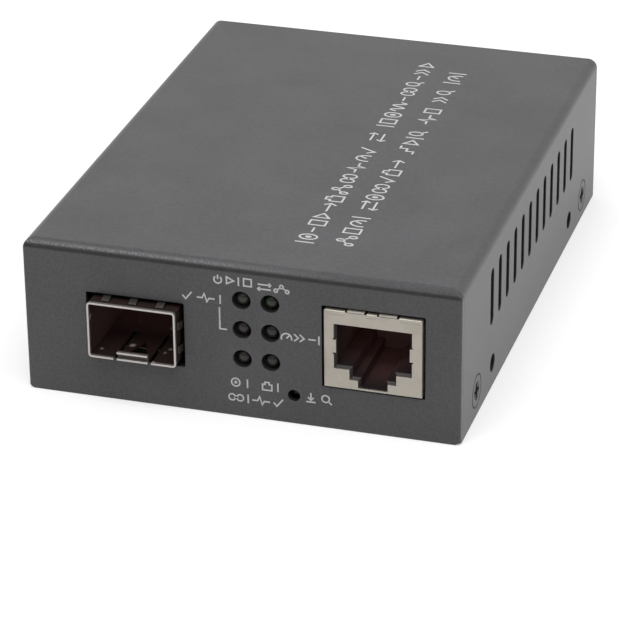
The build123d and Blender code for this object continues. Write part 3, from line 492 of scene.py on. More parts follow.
@dataclass(frozen=True)
class PowderCoat(Finish):
    """Fine-grained matt coat over folded sheet steel, with a painted shade inside and in its cut edges."""

    skins: tuple[Skin, ...] = ()
    bend: Span = (1.3, 1.5)
    back: float = 48.05 * MM
    near_end: Span = (0.02 * MM, 0.06 * MM)
    dark: Colour = (0.036, 0.036, 0.038)
    light: Colour = (0.067, 0.067, 0.071)
    # painted shade on the inner faces and in the cut edges of holes and slots, also used for seam lines
    painted_shade_and_seams: Colour = (0.007, 0.006, 0.006)
    grain: float = 0.34 * MM
    peel: float = 0.9 * MM
    cloud: float = 14 * MM
    pit: float = 0.544 * MM
    tone_shares: Shares = (0.6, 0.15, 0.25)
    tones: Span = (0.32, 0.68)
    roughness: float = 0.33
    swing: float = 0.18
    dryness: float = 0.5
    height_shares: Shares = (0.45, 0.25, 0.5)
    depth: float = 0.016 * MM
    edge: float = 0.14 * MM

    def unshaded_faces(self, sheet: Sheet) -> Val:
        """Where the coat shows without painted shade: on the outer faces, and on the cut edges at the back
        and at the foot.

        Args:
            sheet: the node sheet.

        Returns:
            The mask.
        """
        outside = self.skins[0].beyond(sheet)
        for skin in self.skins[1:]:
            outside = outside + skin.beyond(sheet)
        near, far = self.near_end
        back = sheet.along(1).rise(self.back - far, self.back - near)
        foot = 1.0 - sheet.along(2).rise(near, far)
        return outside.rise(*squared(self.bend)) | back | foot

    def layer(self, sheet: Sheet) -> Layer:
        """The coat with its grain, orange peel, faint clouding and softened edges.

        Args:
            sheet: the node sheet.

        Returns:
            The coat.
        """
        grain = sheet.noise(self.grain, FINE)
        peel = sheet.noise(self.peel)
        cloud = sheet.noise(self.cloud)
        pits = sheet.cells(self.pit)
        unshaded_coat = self.unshaded_faces(sheet)
        tone = blend((grain, peel, cloud), self.tone_shares).rise(*self.tones)
        height = blend((grain, pits, peel), self.height_shares)
        return Layer(
            grain,
            unshaded_coat,
            sheet.mix(self.dark, self.light, tone),
            self.matt(grain) + (1.0 - unshaded_coat) * self.dryness,
            self.fine(sheet, height),
        )

    def draw(self, sheet: Sheet) -> None:
        """Lays the coat over a painted shade, which shows wherever the coat is not on an outer face.

        Args:
            sheet: the empty node sheet.
        """
        layer = self.layer(sheet)
        sheet.surface(
            {
                # painted shade wherever the coat is not on an outer face
                "Base Color": sheet.mix(self.painted_shade_and_seams, layer.colour, layer.unshaded_coat),
                "Roughness": layer.roughness,
                "Normal": layer.normal,
            }
        )


@dataclass(frozen=True)
class CoverCoat(PowderCoat):
    """The cover's coat: a painted shade round its screws, a seam line at its corners, and a painted highlight
    and a painted shade along its front bend.
    """

    skins: tuple[Skin, ...] = (COVER_SIDES, COVER_FRONT, COVER_TOP)
    # painted highlight on the crest of the front bend
    highlight_and_tone: Colour = (0.115, 0.115, 0.118)
    # painted shade round each screw head
    ring_inside: Span = (2.73, 2.77)
    ring_outside: Span = (2.81, 2.97)
    side: Span = (34.88, 34.92)
    seam: float = -44.75
    seam_reach: Span = (0.04, 0.22)
    seam_share: float = 0.45
    line_share: float = 0.85
    line_depth: float = 0.08 * MM
    dry_end: Span = (-20 * MM, 26 * MM)
    dry_share: float = 0.4
    on_bend: Span = (0.02, 0.5)
    # where the painted highlight on the bend's crest lies
    crest_reach: Span = (0.2, 0.9)
    crest_grains: Span = (0.46, 0.6)
    # where the painted shade at the foot of the front bend lies, and how dark it is
    foot_front: Span = (0.5, 1.3)
    foot_top: Span = (0.0, 0.1)
    foot_share: float = 0.6

    def screw_shade_and_seam(self, sheet: Sheet) -> Val:
        """Dark lines on the outside: a painted shade round each screw head, and a seam line where two flanges
        meet at a corner.

        Args:
            sheet: the node sheet.

        Returns:
            Their mask.
        """
        side = (abs(sheet.along(0)) / MM).rise(*self.side)
        joint = (sheet.along(1) / MM - self.seam).within(*self.seam_reach)
        lines = (side & joint) * self.seam_share
        # painted shade: a dark ring on the cover round the rim of each screw head
        for screw in SCREWS:
            away = sheet.away(screw)
            outside = away.rise(*squared(self.ring_outside))
            lines = lines | (away.rise(*squared(self.ring_inside)) & (1.0 - outside))
        return lines

    def layer(self, sheet: Sheet) -> Layer:
        """The coat with its lines, and with a painted highlight on the crest of its front bend and a painted
        shade at its foot.

        Args:
            sheet: the node sheet.

        Returns:
            The coat.
        """
        layer = super().layer(sheet)
        layer.unshaded_coat = layer.unshaded_coat * (1.0 - self.screw_shade_and_seam(sheet) * self.line_share)
        layer.normal = sheet.relief(layer.unshaded_coat, self.line_depth, layer.normal)
        front, top = COVER_FRONT.beyond(sheet), COVER_TOP.beyond(sheet)
        right = sheet.along(0).rise(*self.dry_end)
        bend = front.rise(*self.on_bend) & top.rise(*self.on_bend)
        crest = (front - top).within(*self.crest_reach) & bend
        foot = (front - top).rise(*self.foot_front) & top.rise(*self.foot_top)
        # painted highlight along the crest of the front bend, fading out towards the right
        highlight_and_tone = crest * (1.0 - right) * layer.grain.rise(*self.crest_grains)
        layer.colour = sheet.mix(layer.colour, self.highlight_and_tone, highlight_and_tone)
        # painted shade at the foot of the front bend
        layer.colour = sheet.mix(layer.colour, self.painted_shade_and_seams, foot * self.foot_share)
        layer.roughness = layer.roughness + (bend & (1.0 - foot)) * right * self.dry_share
        return layer


@dataclass(frozen=True)
class ScrewHead(Finish):
    """Body-coloured screw with a painted shade, flecked with brown, in its recess and round its rim."""

    coat: Colour = (0.060, 0.060, 0.061)
    # painted shade in the recess and round the rim
    recess: Colour = (0.014, 0.009, 0.007)
    fleck: Colour = (0.20, 0.115, 0.055)
    flecks: Span = (0.5, 0.66)
    grain: float = 0.22 * MM
    blot: float = 0.6 * MM
    face: Span = (34.6 * MM, 34.92 * MM)
    rim: Span = (2.43, 2.65)
    rim_blots: Span = (0.3, 0.5)
    core: Span = (0.8, 3.2)
    core_blots: Span = (0.40, 0.52)
    core_share: float = 0.85
    roughness: float = 0.36
    dryness: float = 0.5
    height_shares: Shares = (0.9, 0.1)
    depth: float = 0.12 * MM
    edge: float = 0.12 * MM

    def draw(self, sheet: Sheet) -> None:
        """Coat on the face, and a dark painted shade, flecked with brown, in the recess and round the rim.

        Args:
            sheet: the empty node sheet.
        """
        grain = sheet.noise(self.grain, FINE)
        blot = sheet.noise(self.blot)
        near, far = SCREWS
        away = sheet.away(near) & sheet.away(far)
        # painted shade round the head's rim, broken up by blots
        rim = away.rise(*squared(self.rim)) * blot.rise(*self.rim_blots)
        core = 1.0 - away.rise(*self.core)
        coat = abs(sheet.along(0)).rise(*self.face) & (1.0 - rim)
        # the coat shows except where the painted shade lies in the recess
        coat_unshaded = coat * (1.0 - (core & blot.rise(*self.core_blots)) * self.core_share)
        painted_shade_and_seams = sheet.mix(self.recess, self.fleck, grain.rise(*self.flecks))
        height = blend((coat_unshaded, grain), self.height_shares)
        sheet.surface(
            {
                "Base Color": sheet.mix(painted_shade_and_seams, self.coat, coat_unshaded),
                "Roughness": self.matt(grain) + (1.0 - coat_unshaded) * self.dryness,
                "Normal": self.fine(sheet, height),
            }
        )


class Lay(Enum):
    """The direction in which a metal was rolled or brushed, as the stretch of its grain."""

    ALONG_X = (1.0, 14.0, 14.0)
    ALONG_Y = (14.0, 1.0, 14.0)
    ALONG_Z = (14.0, 14.0, 1.0)
    EVEN = (5.0, 5.0, 5.0)
    TURNED = (1.0, 1.0, 30.0)


@dataclass(frozen=True)
class SheetMetal(Finish):
    """Bare or plated metal with a rolled grain, faint stains and painted highlights on its edges."""

    colour: Colour = (0.62, 0.61, 0.58)
    stain: Colour = (0.40, 0.38, 0.34)
    # painted highlight on the edges
    highlight_and_tone: Colour = (0.72, 0.70, 0.66)
    lay: Lay = Lay.ALONG_Y
    grain: float = 0.9 * MM
    cloud: float = 4.5 * MM
    clouds: Span = (0.42, 0.75)
    spot: float = 0.7 * MM
    spots: Span = (0.18, 0.05)
    stain_shares: Shares = (0.55, 0.18, 0.15)
    rim: float = 0.12 * MM
    rim_share: float = 0.6
    roughness: float = 0.34
    swing: float = 0.22
    haze: float = 0.08
    depth: float = 0.004 * MM
    edge: float = 0.06 * MM

    def draw(self, sheet: Sheet) -> None:
        """Drawn-out grain in the gloss, clouds of stain in the colour, and a painted highlight on the edges.

        Args:
            sheet: the empty node sheet.
        """
        grain = sheet.noise(self.grain, FINEST, sheet.stretched(self.lay.value))
        cloud = sheet.noise(self.cloud, FINE)
        spot = sheet.cells(self.spot).rise(*self.spots)
        stained = blend((cloud.rise(*self.clouds), spot, grain), self.stain_shares)
        plate = sheet.mix(self.colour, self.stain, stained)
        sheet.surface(
            {
                # painted highlight: every sharp edge is lightened
                "Base Color": sheet.mix(plate, self.highlight_and_tone, sheet.rims(self.rim) * self.rim_share),
                "Metallic": 1.0,
                "Roughness": self.matt(grain) + cloud * self.haze,
                "Normal": self.fine(sheet, grain),
            }
        )


@dataclass(frozen=True)
class CageMetal(Finish):
    """Plated cage: bright at its cut mouth; behind it a painted shade, brown inside and darker on the floor
    and outside, with painted glints inside.
    """

    low: Vector = field(default_factory=Vector)
    high: Vector = field(default_factory=Vector)
    bright: Colour = (0.53, 0.50, 0.475)
    # painted shade inside: darkest near the mouth and lighter deep in, to make up for the darker shade there
    inside_shade: Colour = (0.032, 0.015, 0.014)
    painted_deep: Colour = (0.50, 0.285, 0.27)
    # painted shade on the outer faces, which lie in the dark gap round the cage
    outside: Colour = (0.021, 0.011, 0.009)
    # painted shade on the floor of the cage
    floor_shade: Colour = (0.013, 0.006, 0.005)
    # painted glints: light spots and streaks inside, standing in for reflections off its springs
    glint: Colour = (0.95, 0.86, 0.79)
    mouth: Span = (0.05 * MM, 0.6 * MM)
    outer: Span = (0.15 * MM, 0.075 * MM)
    painted_depth_ramp: Span = (0.0, 18 * MM)
    floor: Span = (8.5 * MM, 8.8 * MM)
    floor_end: Span = (7 * MM, 18 * MM)
    floor_share: float = 0.75
    grain: float = 0.8 * MM
    mark: float = 2.4 * MM
    marks: Span = (0.26, 0.08)
    patch: float = 3.0 * MM
    patches: Span = (0.44, 0.52)
    streaks: Span = (0.55, 0.9)
    glint_shares: Shares = (0.6, 0.03)
    metal_lost: float = 0.8
    haze: float = 0.1
    depth: float = 0.005 * MM
    edge: float = 0.05 * MM

    def outer_skin(self, sheet: Sheet) -> Val:
        """The outer face of the cage's sides and top.

        Args:
            sheet: the node sheet.

        Returns:
            The mask.
        """
        middle = (self.high.x + self.low.x) / 2
        half = self.high.x - middle
        wide = abs(sheet.along(0) - middle)
        inner, outer = self.outer
        sides = wide.rise(half - inner, half - outer)
        return sides | sheet.along(2).rise(self.high.z - inner, self.high.z - outer)

    def draw(self, sheet: Sheet) -> None:
        """Depth from the mouth carries the colour from bright to the painted shade.

        Args:
            sheet: the empty node sheet.
        """
        grain = sheet.noise(self.grain, FINEST, sheet.stretched(Lay.ALONG_Y.value))
        # painted glints in spots
        glints = sheet.cells(self.mark).rise(*self.marks) & sheet.noise(self.patch, PLAIN).rise(*self.patches)
        back = sheet.along(1) - self.low.y
        depth = back.rise(*self.mouth)
        # painted shade inside, lighter deep in
        painted_depth_colour = sheet.mix(self.inside_shade, self.painted_deep, back.rise(*self.painted_depth_ramp))
        # painted shade on the floor near the mouth
        floor = 1.0 - (sheet.along(2).rise(*self.floor) | back.rise(*self.floor_end))
        painted_depth_colour = sheet.mix(painted_depth_colour, self.floor_shade, floor * self.floor_share)
        glinted = blend((glints, grain.rise(*self.streaks)), self.glint_shares)
        with_glints = sheet.mix(painted_depth_colour, self.glint, glinted)
        # painted shade on the outer faces
        painted_dark = sheet.mix(with_glints, self.outside, self.outer_skin(sheet))
        sheet.surface(
            {
                "Base Color": sheet.mix(self.bright, painted_dark, depth),
                "Metallic": 1.0 - depth * self.metal_lost,
                "Roughness": self.matt(grain) + depth * self.haze,
                "Normal": self.fine(sheet, grain),
            }
        )


@dataclass(frozen=True)
class Moulding(Finish):
    """Moulded plastic with a fine spark-eroded texture."""

    colour: Colour = (0.022, 0.021, 0.021)
    highlight_and_tone: Colour = (0.045, 0.044, 0.043)
    texture: float = 0.16 * MM
    flow: float = 5 * MM
    lay: Lay = Lay.ALONG_Z
    tone_shares: Shares = (0.5, 0.35)
    roughness: float = 0.42

    def body(self, sheet: Sheet, texture: Val) -> Val:
        """The moulding's colour, with faint flow marks.

        Args:
            sheet: the node sheet.
            texture: the surface's texture.

        Returns:
            The colour.
        """
        flow = sheet.noise(self.flow, SOFT, sheet.stretched(self.lay.value))
        return sheet.mix(self.colour, self.highlight_and_tone, blend((texture, flow), self.tone_shares))

    def draw(self, sheet: Sheet) -> None:
        """Texture in the gloss and flow marks in the colour.

        Args:
            sheet: the empty node sheet.
        """
        texture = sheet.noise(self.texture, FINE)
        sheet.surface(
            {
                "Base Color": self.body(sheet, texture),
                "Roughness": self.matt(texture),
                "Normal": self.fine(sheet, texture),
            }
        )


@dataclass(frozen=True)
class SocketMoulding(Moulding):
    """Moulding of a socket: black round its mouth with painted highlights on its edges there, and a lighter
    painted brown in its depth.
    """

    flow: float = 4 * MM
    lay: Lay = Lay.ALONG_Y
    tone_shares: Shares = (0.4, 0.3)
    # painted highlight on the edges round the mouth
    pale: Colour = (0.10, 0.09, 0.085)
    # painted colour deep inside, lighter than the black, to make up for the shade there
    painted_depth_colour: Colour = (0.25, 0.128, 0.126)
    mouth: float = -46.35 * MM
    lip: Span = (0.5 * MM, 1.4 * MM)
    painted_depth_ramp: Span = (0.4 * MM, 13.0 * MM)
    rim: float = 0.14 * MM
    gloss: float = 0.28
    haze: float = 0.2

    def draw(self, sheet: Sheet) -> None:
        """Texture in the gloss, painted highlights on the edges, and a painted colour that warms and lightens
        with the depth.

        Args:
            sheet: the empty node sheet.
        """
        texture = sheet.noise(self.texture, FINE)
        back = sheet.along(1) - self.mouth
        depth = back.rise(*self.painted_depth_ramp)
        lip = 1.0 - back.rise(*self.lip)
        # painted highlight on the edges round the mouth
        edged = sheet.mix(self.body(sheet, texture), self.pale, sheet.rims(self.rim) * lip)
        sheet.surface(
            {
                "Base Color": sheet.mix(edged, self.painted_depth_colour, depth),
                "Roughness": self.matt(texture) + depth * self.haze,
                "Specular IOR Level": self.gloss,
                "Normal": self.fine(sheet, texture),
            }
        )


@dataclass(frozen=True)
class TintedResin(Finish):
    """Cast resin of an indicator: tinted, glossy, a little cloudy."""

    tint: Colour = (0.1, 0.12, 0.09)
    # painted shade behind the dome's crown
    painted_deep: Colour = (0.005, 0.004, 0.004)
    crown: float = -45.6 * MM
    deepening: Span = (0.0, 0.75 * MM)
    cloud: float = 0.6 * MM
    deep_shares: Shares = (0.8, 0.2)
    roughness: float = 0.20
    haze: float = 0.12
    bending: float = 1.4

    def draw(self, sheet: Sheet) -> None:
        """The tint is palest at the dome's crown, and behind it a painted shade darkens it.

        Args:
            sheet: the empty node sheet.
        """
        cloud = sheet.noise(self.cloud)
        behind = (sheet.along(1) - self.crown).rise(*self.deepening)
        sheet.surface(
            {
                "Base Color": sheet.mix(self.tint, self.painted_deep, blend((behind, cloud), self.deep_shares)),
                "Roughness": self.roughness + cloud * self.haze,
                "IOR": self.bending,
                "Normal": sheet.relief(cloud, self.depth),
            }
        )


@dataclass(frozen=True)
class SolderMask(Finish):
    """Green solder mask over laminate, with traces and ground fill showing through."""

    mask: Colour = (0.010, 0.065, 0.030)
    copper: Colour = (0.022, 0.115, 0.050)
    fibre: Colour = (0.16, 0.14, 0.07)
    middle: float = 6.8 * MM
    core: Span = (0.68 * MM, 0.76 * MM)
    island: float = 3.4 * MM
    traces: Span = (0.10, 0.06)
    pour: float = 9 * MM
    pours: Span = (0.52, 0.54)
    weave: float = 0.35 * MM
    tone_shares: Shares = (0.9, 0.1)
    height_shares: Shares = (1.0, 0.2)
    roughness: float = 0.28
    rough_shares: Shares = (0.14, 0.3)
    depth: float = 0.02 * MM

    def draw(self, sheet: Sheet) -> None:
        """Traces as the borders of cells, bare fibre at the cut edge.

        Args:
            sheet: the empty node sheet.
        """
        trace = sheet.cells(self.island, "DISTANCE_TO_EDGE").rise(*self.traces)
        copper = trace | sheet.noise(self.pour, PLAIN).rise(*self.pours)
        cut = (sheet.along(2) - self.middle).within(*self.core)
        weave = sheet.noise(self.weave)
        layers = sheet.mix(self.mask, self.copper, blend((copper, weave), self.tone_shares))
        sheet.surface(
            {
                "Base Color": sheet.mix(layers, self.fibre, cut),
                "Roughness": self.roughness + blend((weave, cut), self.rough_shares),
                "Normal": sheet.relief(blend((copper, weave), self.height_shares), self.depth),
            }
        )


@dataclass(frozen=True)
class ChipPackage(Finish):
    """Black filled epoxy package, with tinned leads beyond its body."""

    centre: Point = (0.0, 0.0)
    half: Point = NO_LEADS
    blur: float = 0.04 * MM
    epoxy: Colour = (0.016, 0.016, 0.017)
    filler: Colour = (0.040, 0.040, 0.042)
    tin: Colour = (0.60, 0.60, 0.58)
    grain: float = 0.12 * MM
    roughness: float = 0.55
    swing: float = 0.15
    lead_gloss: float = 0.25
    edge: float = 0.05 * MM

    def beyond(self, sheet: Sheet, axis: int) -> Val:
        """What lies beyond the body along one axis.

        Args:
            sheet: the node sheet.
            axis: 0 for X, 1 for Y.

        Returns:
            The mask.
        """
        away = abs(sheet.along(axis) - self.centre[axis])
        return (away - self.half[axis]).rise(0.0, self.blur)

    def draw(self, sheet: Sheet) -> None:
        """Everything beyond the body's half sizes is tinned metal.

        Args:
            sheet: the empty node sheet.
        """
        grain = sheet.noise(self.grain, FINE)
        lead = self.beyond(sheet, 0) | self.beyond(sheet, 1)
        black = sheet.mix(self.epoxy, self.filler, grain)
        sheet.surface(
            {
                "Base Color": sheet.mix(black, self.tin, lead),
                "Metallic": lead,
                "Roughness": self.matt(grain) - lead * self.lead_gloss,
                "Normal": self.fine(sheet, grain),
            }
        )


@dataclass(frozen=True)
class CapacitorCan(Finish):
    """Aluminium can with a dark polarity sector on its lid and a dark foot."""

    centres: tuple[float, ...] = ()
    metal: Colour = (0.72, 0.72, 0.72)
    dark: Colour = (0.05, 0.05, 0.055)
    foot: float = 8.2 * MM
    lid: Span = (14.68 * MM, 14.72 * MM)
    chord: float = 1.5 * MM
    reach: float = 3.4 * MM
    blur: float = 0.05 * MM
    grain: float = 0.5 * MM
    roughness: float = 0.30
    haze: float = 0.2
    depth: float = 0.004 * MM
    edge: float = 0.08 * MM

    def sector(self, sheet: Sheet, centre: float) -> Val:
        """What lies beyond a chord of one can.

        Args:
            sheet: the node sheet.
            centre: the can's place along X.

        Returns:
            The mask.
        """
        away = sheet.along(0) - centre
        return away.rise(self.chord, self.chord + self.blur) & (self.reach - away).rise(0.0, self.blur)

    def draw(self, sheet: Sheet) -> None:
        """Turned aluminium, with print on each lid and a dark foot.

        Args:
            sheet: the empty node sheet.
        """
        turned = sheet.noise(self.grain, FINE, sheet.stretched(Lay.TURNED.value))
        up = sheet.along(2)
        sectors = self.sector(sheet, self.centres[0])
        for centre in self.centres[1:]:
            sectors = sectors | self.sector(sheet, centre)
        dark = (sectors & up.rise(*self.lid)) | (1.0 - up.rise(self.foot, self.foot + self.blur))
        sheet.surface(
            {
                "Base Color": sheet.mix(self.metal, self.dark, dark),
                "Metallic": 1.0 - dark,
                "Roughness": self.matt(turned) + dark * self.haze,
                "Normal": self.fine(sheet, turned),
            }
        )


@dataclass(frozen=True)
class Ferrite(Finish):
    """Sintered ferrite: dark grey, dry and pitted."""

    colour: Colour = (0.060, 0.060, 0.063)
    pale: Colour = (0.115, 0.115, 0.118)
    pale_share: float = 0.8
    grain: float = 0.2 * MM
    pit: float = 0.45 * MM
    pits: Span = (0.0, 0.25)
    roughness: float = 0.72
    height_shares: Shares = (0.5, 0.5)
    depth: float = 0.015 * MM

    def draw(self, sheet: Sheet) -> None:
        """Pits and a speckled colour.

        Args:
            sheet: the empty node sheet.
        """
        grain = sheet.noise(self.grain, FINEST)
        pits = sheet.cells(self.pit).rise(*self.pits)
        height = blend((grain, pits), self.height_shares)
        sheet.surface(
            {
                "Base Color": sheet.mix(self.colour, self.pale, grain * self.pale_share),
                "Roughness": self.matt(grain),
                "Normal": self.fine(sheet, height),
            }
        )


@dataclass(frozen=True)
class PrintInk(Finish):
    """Pale screen-printed ink, with thin places that let the coat show."""

    ink: Colour = (0.50, 0.50, 0.50)
    thin: Colour = (0.30, 0.30, 0.31)
    mesh: float = 0.14 * MM
    cloud: float = 1.2 * MM
    thin_shares: Shares = (0.6, 0.4)
    thinning: Span = (0.45, 0.8)
    roughness: float = 0.5
    depth: float = 0.004 * MM

    def draw(self, sheet: Sheet) -> None:
        """Mesh pattern and thin places.

        Args:
            sheet: the empty node sheet.
        """
        mesh = sheet.noise(self.mesh)
        cloud = sheet.noise(self.cloud)
        thinned = blend((mesh, cloud), self.thin_shares).rise(*self.thinning)
        sheet.surface(
            {
                "Base Color": sheet.mix(self.ink, self.thin, thinned),
                "Roughness": self.matt(mesh),
                "Normal": sheet.relief(mesh, self.depth),
            }
        )


@dataclass(frozen=True)
class Stroke:
    """One pen stroke of a pictogram, in units of its height."""

    points: tuple[Point, ...]
    closed: bool = False
    filled: bool = False


def arc(centre: Point, radius: float, start: float, end: float, steps: int = 18) -> tuple[Point, ...]:
    """Points on an arc.

    Args:
        centre: the arc's centre.
        radius: its radius.
        start: the angle that it starts at, in degrees.
        end: the angle that it ends at, in degrees.
        steps: how many runs it has.

    Returns:
        The points.
    """
    angles = [math.radians(start + (end - start) * i / steps) for i in range(steps + 1)]
    return tuple((centre[0] + radius * math.cos(a), centre[1] + radius * math.sin(a)) for a in angles)


def ring(centre: Point, radius: float, steps: int = 24) -> Stroke:
    """A closed round stroke."""
    return Stroke(arc(centre, radius, 0, 360, steps)[:-1], closed=True)


def disc(centre: Point, radius: float, steps: int = 16) -> Stroke:
    """A filled round spot."""
    return Stroke(arc(centre, radius, 0, 360, steps)[:-1], filled=True)


def line(*points: Point) -> Stroke:
    """An open stroke through points."""
    return Stroke(points)


def frame_of(*points: Point) -> Stroke:
    """A closed stroke through points."""
    return Stroke(points, closed=True)


def pulse(length: float) -> Stroke:
    """A level line with one sharp beat in it."""
    shape = ((0.0, 0.45), (0.3, 0.45), (0.42, 0.95), (0.56, 0.05), (0.68, 0.45), (1.0, 0.45))
    return Stroke(tuple((u * length, v) for u, v in shape))


def wave(length: float, beats: int, swing: float = 0.34, steps: int = 14) -> Stroke:
    """A sine line.

    Args:
        length: its length.
        beats: how many waves it has.
        swing: how far it swings from the middle.
        steps: how many runs a wave has.

    Returns:
        The stroke.
    """
    runs = steps * beats
    heights = (0.5 + swing * math.sin(2 * math.pi * beats * i / runs) for i in range(runs + 1))
    return Stroke(tuple((length * i / runs, height) for i, height in enumerate(heights)))


def arrow(start: Point, end: Point, head: float = 0.3, gap: float = 0.14) -> tuple[Stroke, ...]:
    """An arrow.

    Args:
        start: its tail.
        end: its tip.
        head: how long the head is.
        gap: how far the shaft stops short of the tip.

    Returns:
        Its strokes.
    """
    a, b = Vector(start), Vector(end)
    along = (b - a).normalized()
    across = Vector((-along.y, along.x))
    back = b - along * head
    left, right = back + across * head, back - across * head
    return (line(start, tuple(b - along * gap)), line(tuple(left), end, tuple(right)))


class Pictogram(Enum):
    """Plain signs, as (width in heights, strokes)."""

    POWER = (1.0, (Stroke(arc((0.5, 0.45), 0.42, 130, 410)), line((0.5, 0.5), (0.5, 1.0))))
    TWO_WAY = (1.5, arrow((0.0, 0.78), (1.5, 0.78), 0.24) + arrow((1.5, 0.22), (0.0, 0.22), 0.24))
    TICK = (1.1, (line((0.05, 0.5), (0.4, 0.1), (1.05, 0.95)),))
    BEAT = (1.9, (pulse(1.9),))
    FAST = (1.3, (line((0.0, 0.9), (0.45, 0.5), (0.0, 0.1)), line((0.6, 0.9), (1.05, 0.5), (0.6, 0.1))))
    DIAL = (1.2, (Stroke(arc((0.6, 0.3), 0.55, 200, -20)), line((0.6, 0.3), (0.9, 0.65))))
    FIBRE = (1.0, (ring((0.5, 0.5), 0.45), disc((0.5, 0.5), 0.17)))
    SOCKET = (
        1.1,
        (
            frame_of(
                (0.05, 0.05), (1.05, 0.05), (1.05, 0.7), (0.78, 0.7),
                (0.78, 0.95), (0.32, 0.95), (0.32, 0.7), (0.05, 0.7),
            ),
        ),
    )
    CHAIN = (1.7, (ring((0.42, 0.5), 0.36), ring((1.28, 0.5), 0.36), line((0.62, 0.5), (1.08, 0.5))))
    PRESS = (1.0, arrow((0.5, 1.0), (0.5, 0.25), 0.28) + (line((0.05, 0.05), (0.95, 0.05)),))
    LIGHT = (1.8, (wave(1.8, 2),))
    TO = (1.5, arrow((0.0, 0.5), (1.5, 0.5), 0.32))
    BOX = (1.0, (frame_of((0.08, 0.08), (0.92, 0.08), (0.92, 0.92), (0.08, 0.92)),))
    BAR = (0.2, (line((0.1, 0.0), (0.1, 1.0)),))
    DASH = (0.8, (line((0.0, 0.5), (0.8, 0.5)),))
    NODES = (
        1.8,
        (
            ring((0.25, 0.25), 0.2),
            ring((0.9, 0.78), 0.2),
            ring((1.55, 0.25), 0.2),
            line((0.42, 0.4), (0.74, 0.64)),
            line((1.06, 0.64), (1.38, 0.4)),
        ),
    )
    LENS = (1.1, (ring((0.42, 0.58), 0.36), line((0.7, 0.32), (1.02, 0.02))))
    STEPS = (1.5, (line((0.0, 0.1), (0.5, 0.1), (0.5, 0.5), (1.0, 0.5), (1.0, 0.9), (1.5, 0.9)),))
    WEDGE = (0.9, (frame_of((0.08, 0.1), (0.86, 0.5), (0.08, 0.9)),))
    SPACE = (0.75, ())

    @property
    def width(self) -> float:
        """How wide it is, in heights."""
        return self.value[0]

    @property
    def strokes(self) -> tuple[Stroke, ...]:
        """Its strokes."""
        return self.value[1]


def signs(names: str) -> tuple[Pictogram, ...]:
    """The pictograms of some names."""
    return tuple(Pictogram[name] for name in names.split())


class Face(Enum):
    """A flat face that carries print, as (reading direction, upward direction)."""

    FRONT = ((1.0, 0.0, 0.0), (0.0, 0.0, 1.0))
    TOP = ((0.0, 1.0, 0.0), (-1.0, 0.0, 0.0))
    REAR = ((-1.0, 0.0, 0.0), (0.0, 0.0, 1.0))

    @property
    def across(self) -> Vector:
        """The reading direction."""
        return Vector(self.value[0])

    @property
    def up(self) -> Vector:
        """The upward direction."""
        return Vector(self.value[1])

    @property
    def out(self) -> Vector:
        """The direction away from the face."""
        return self.across.cross(self.up)


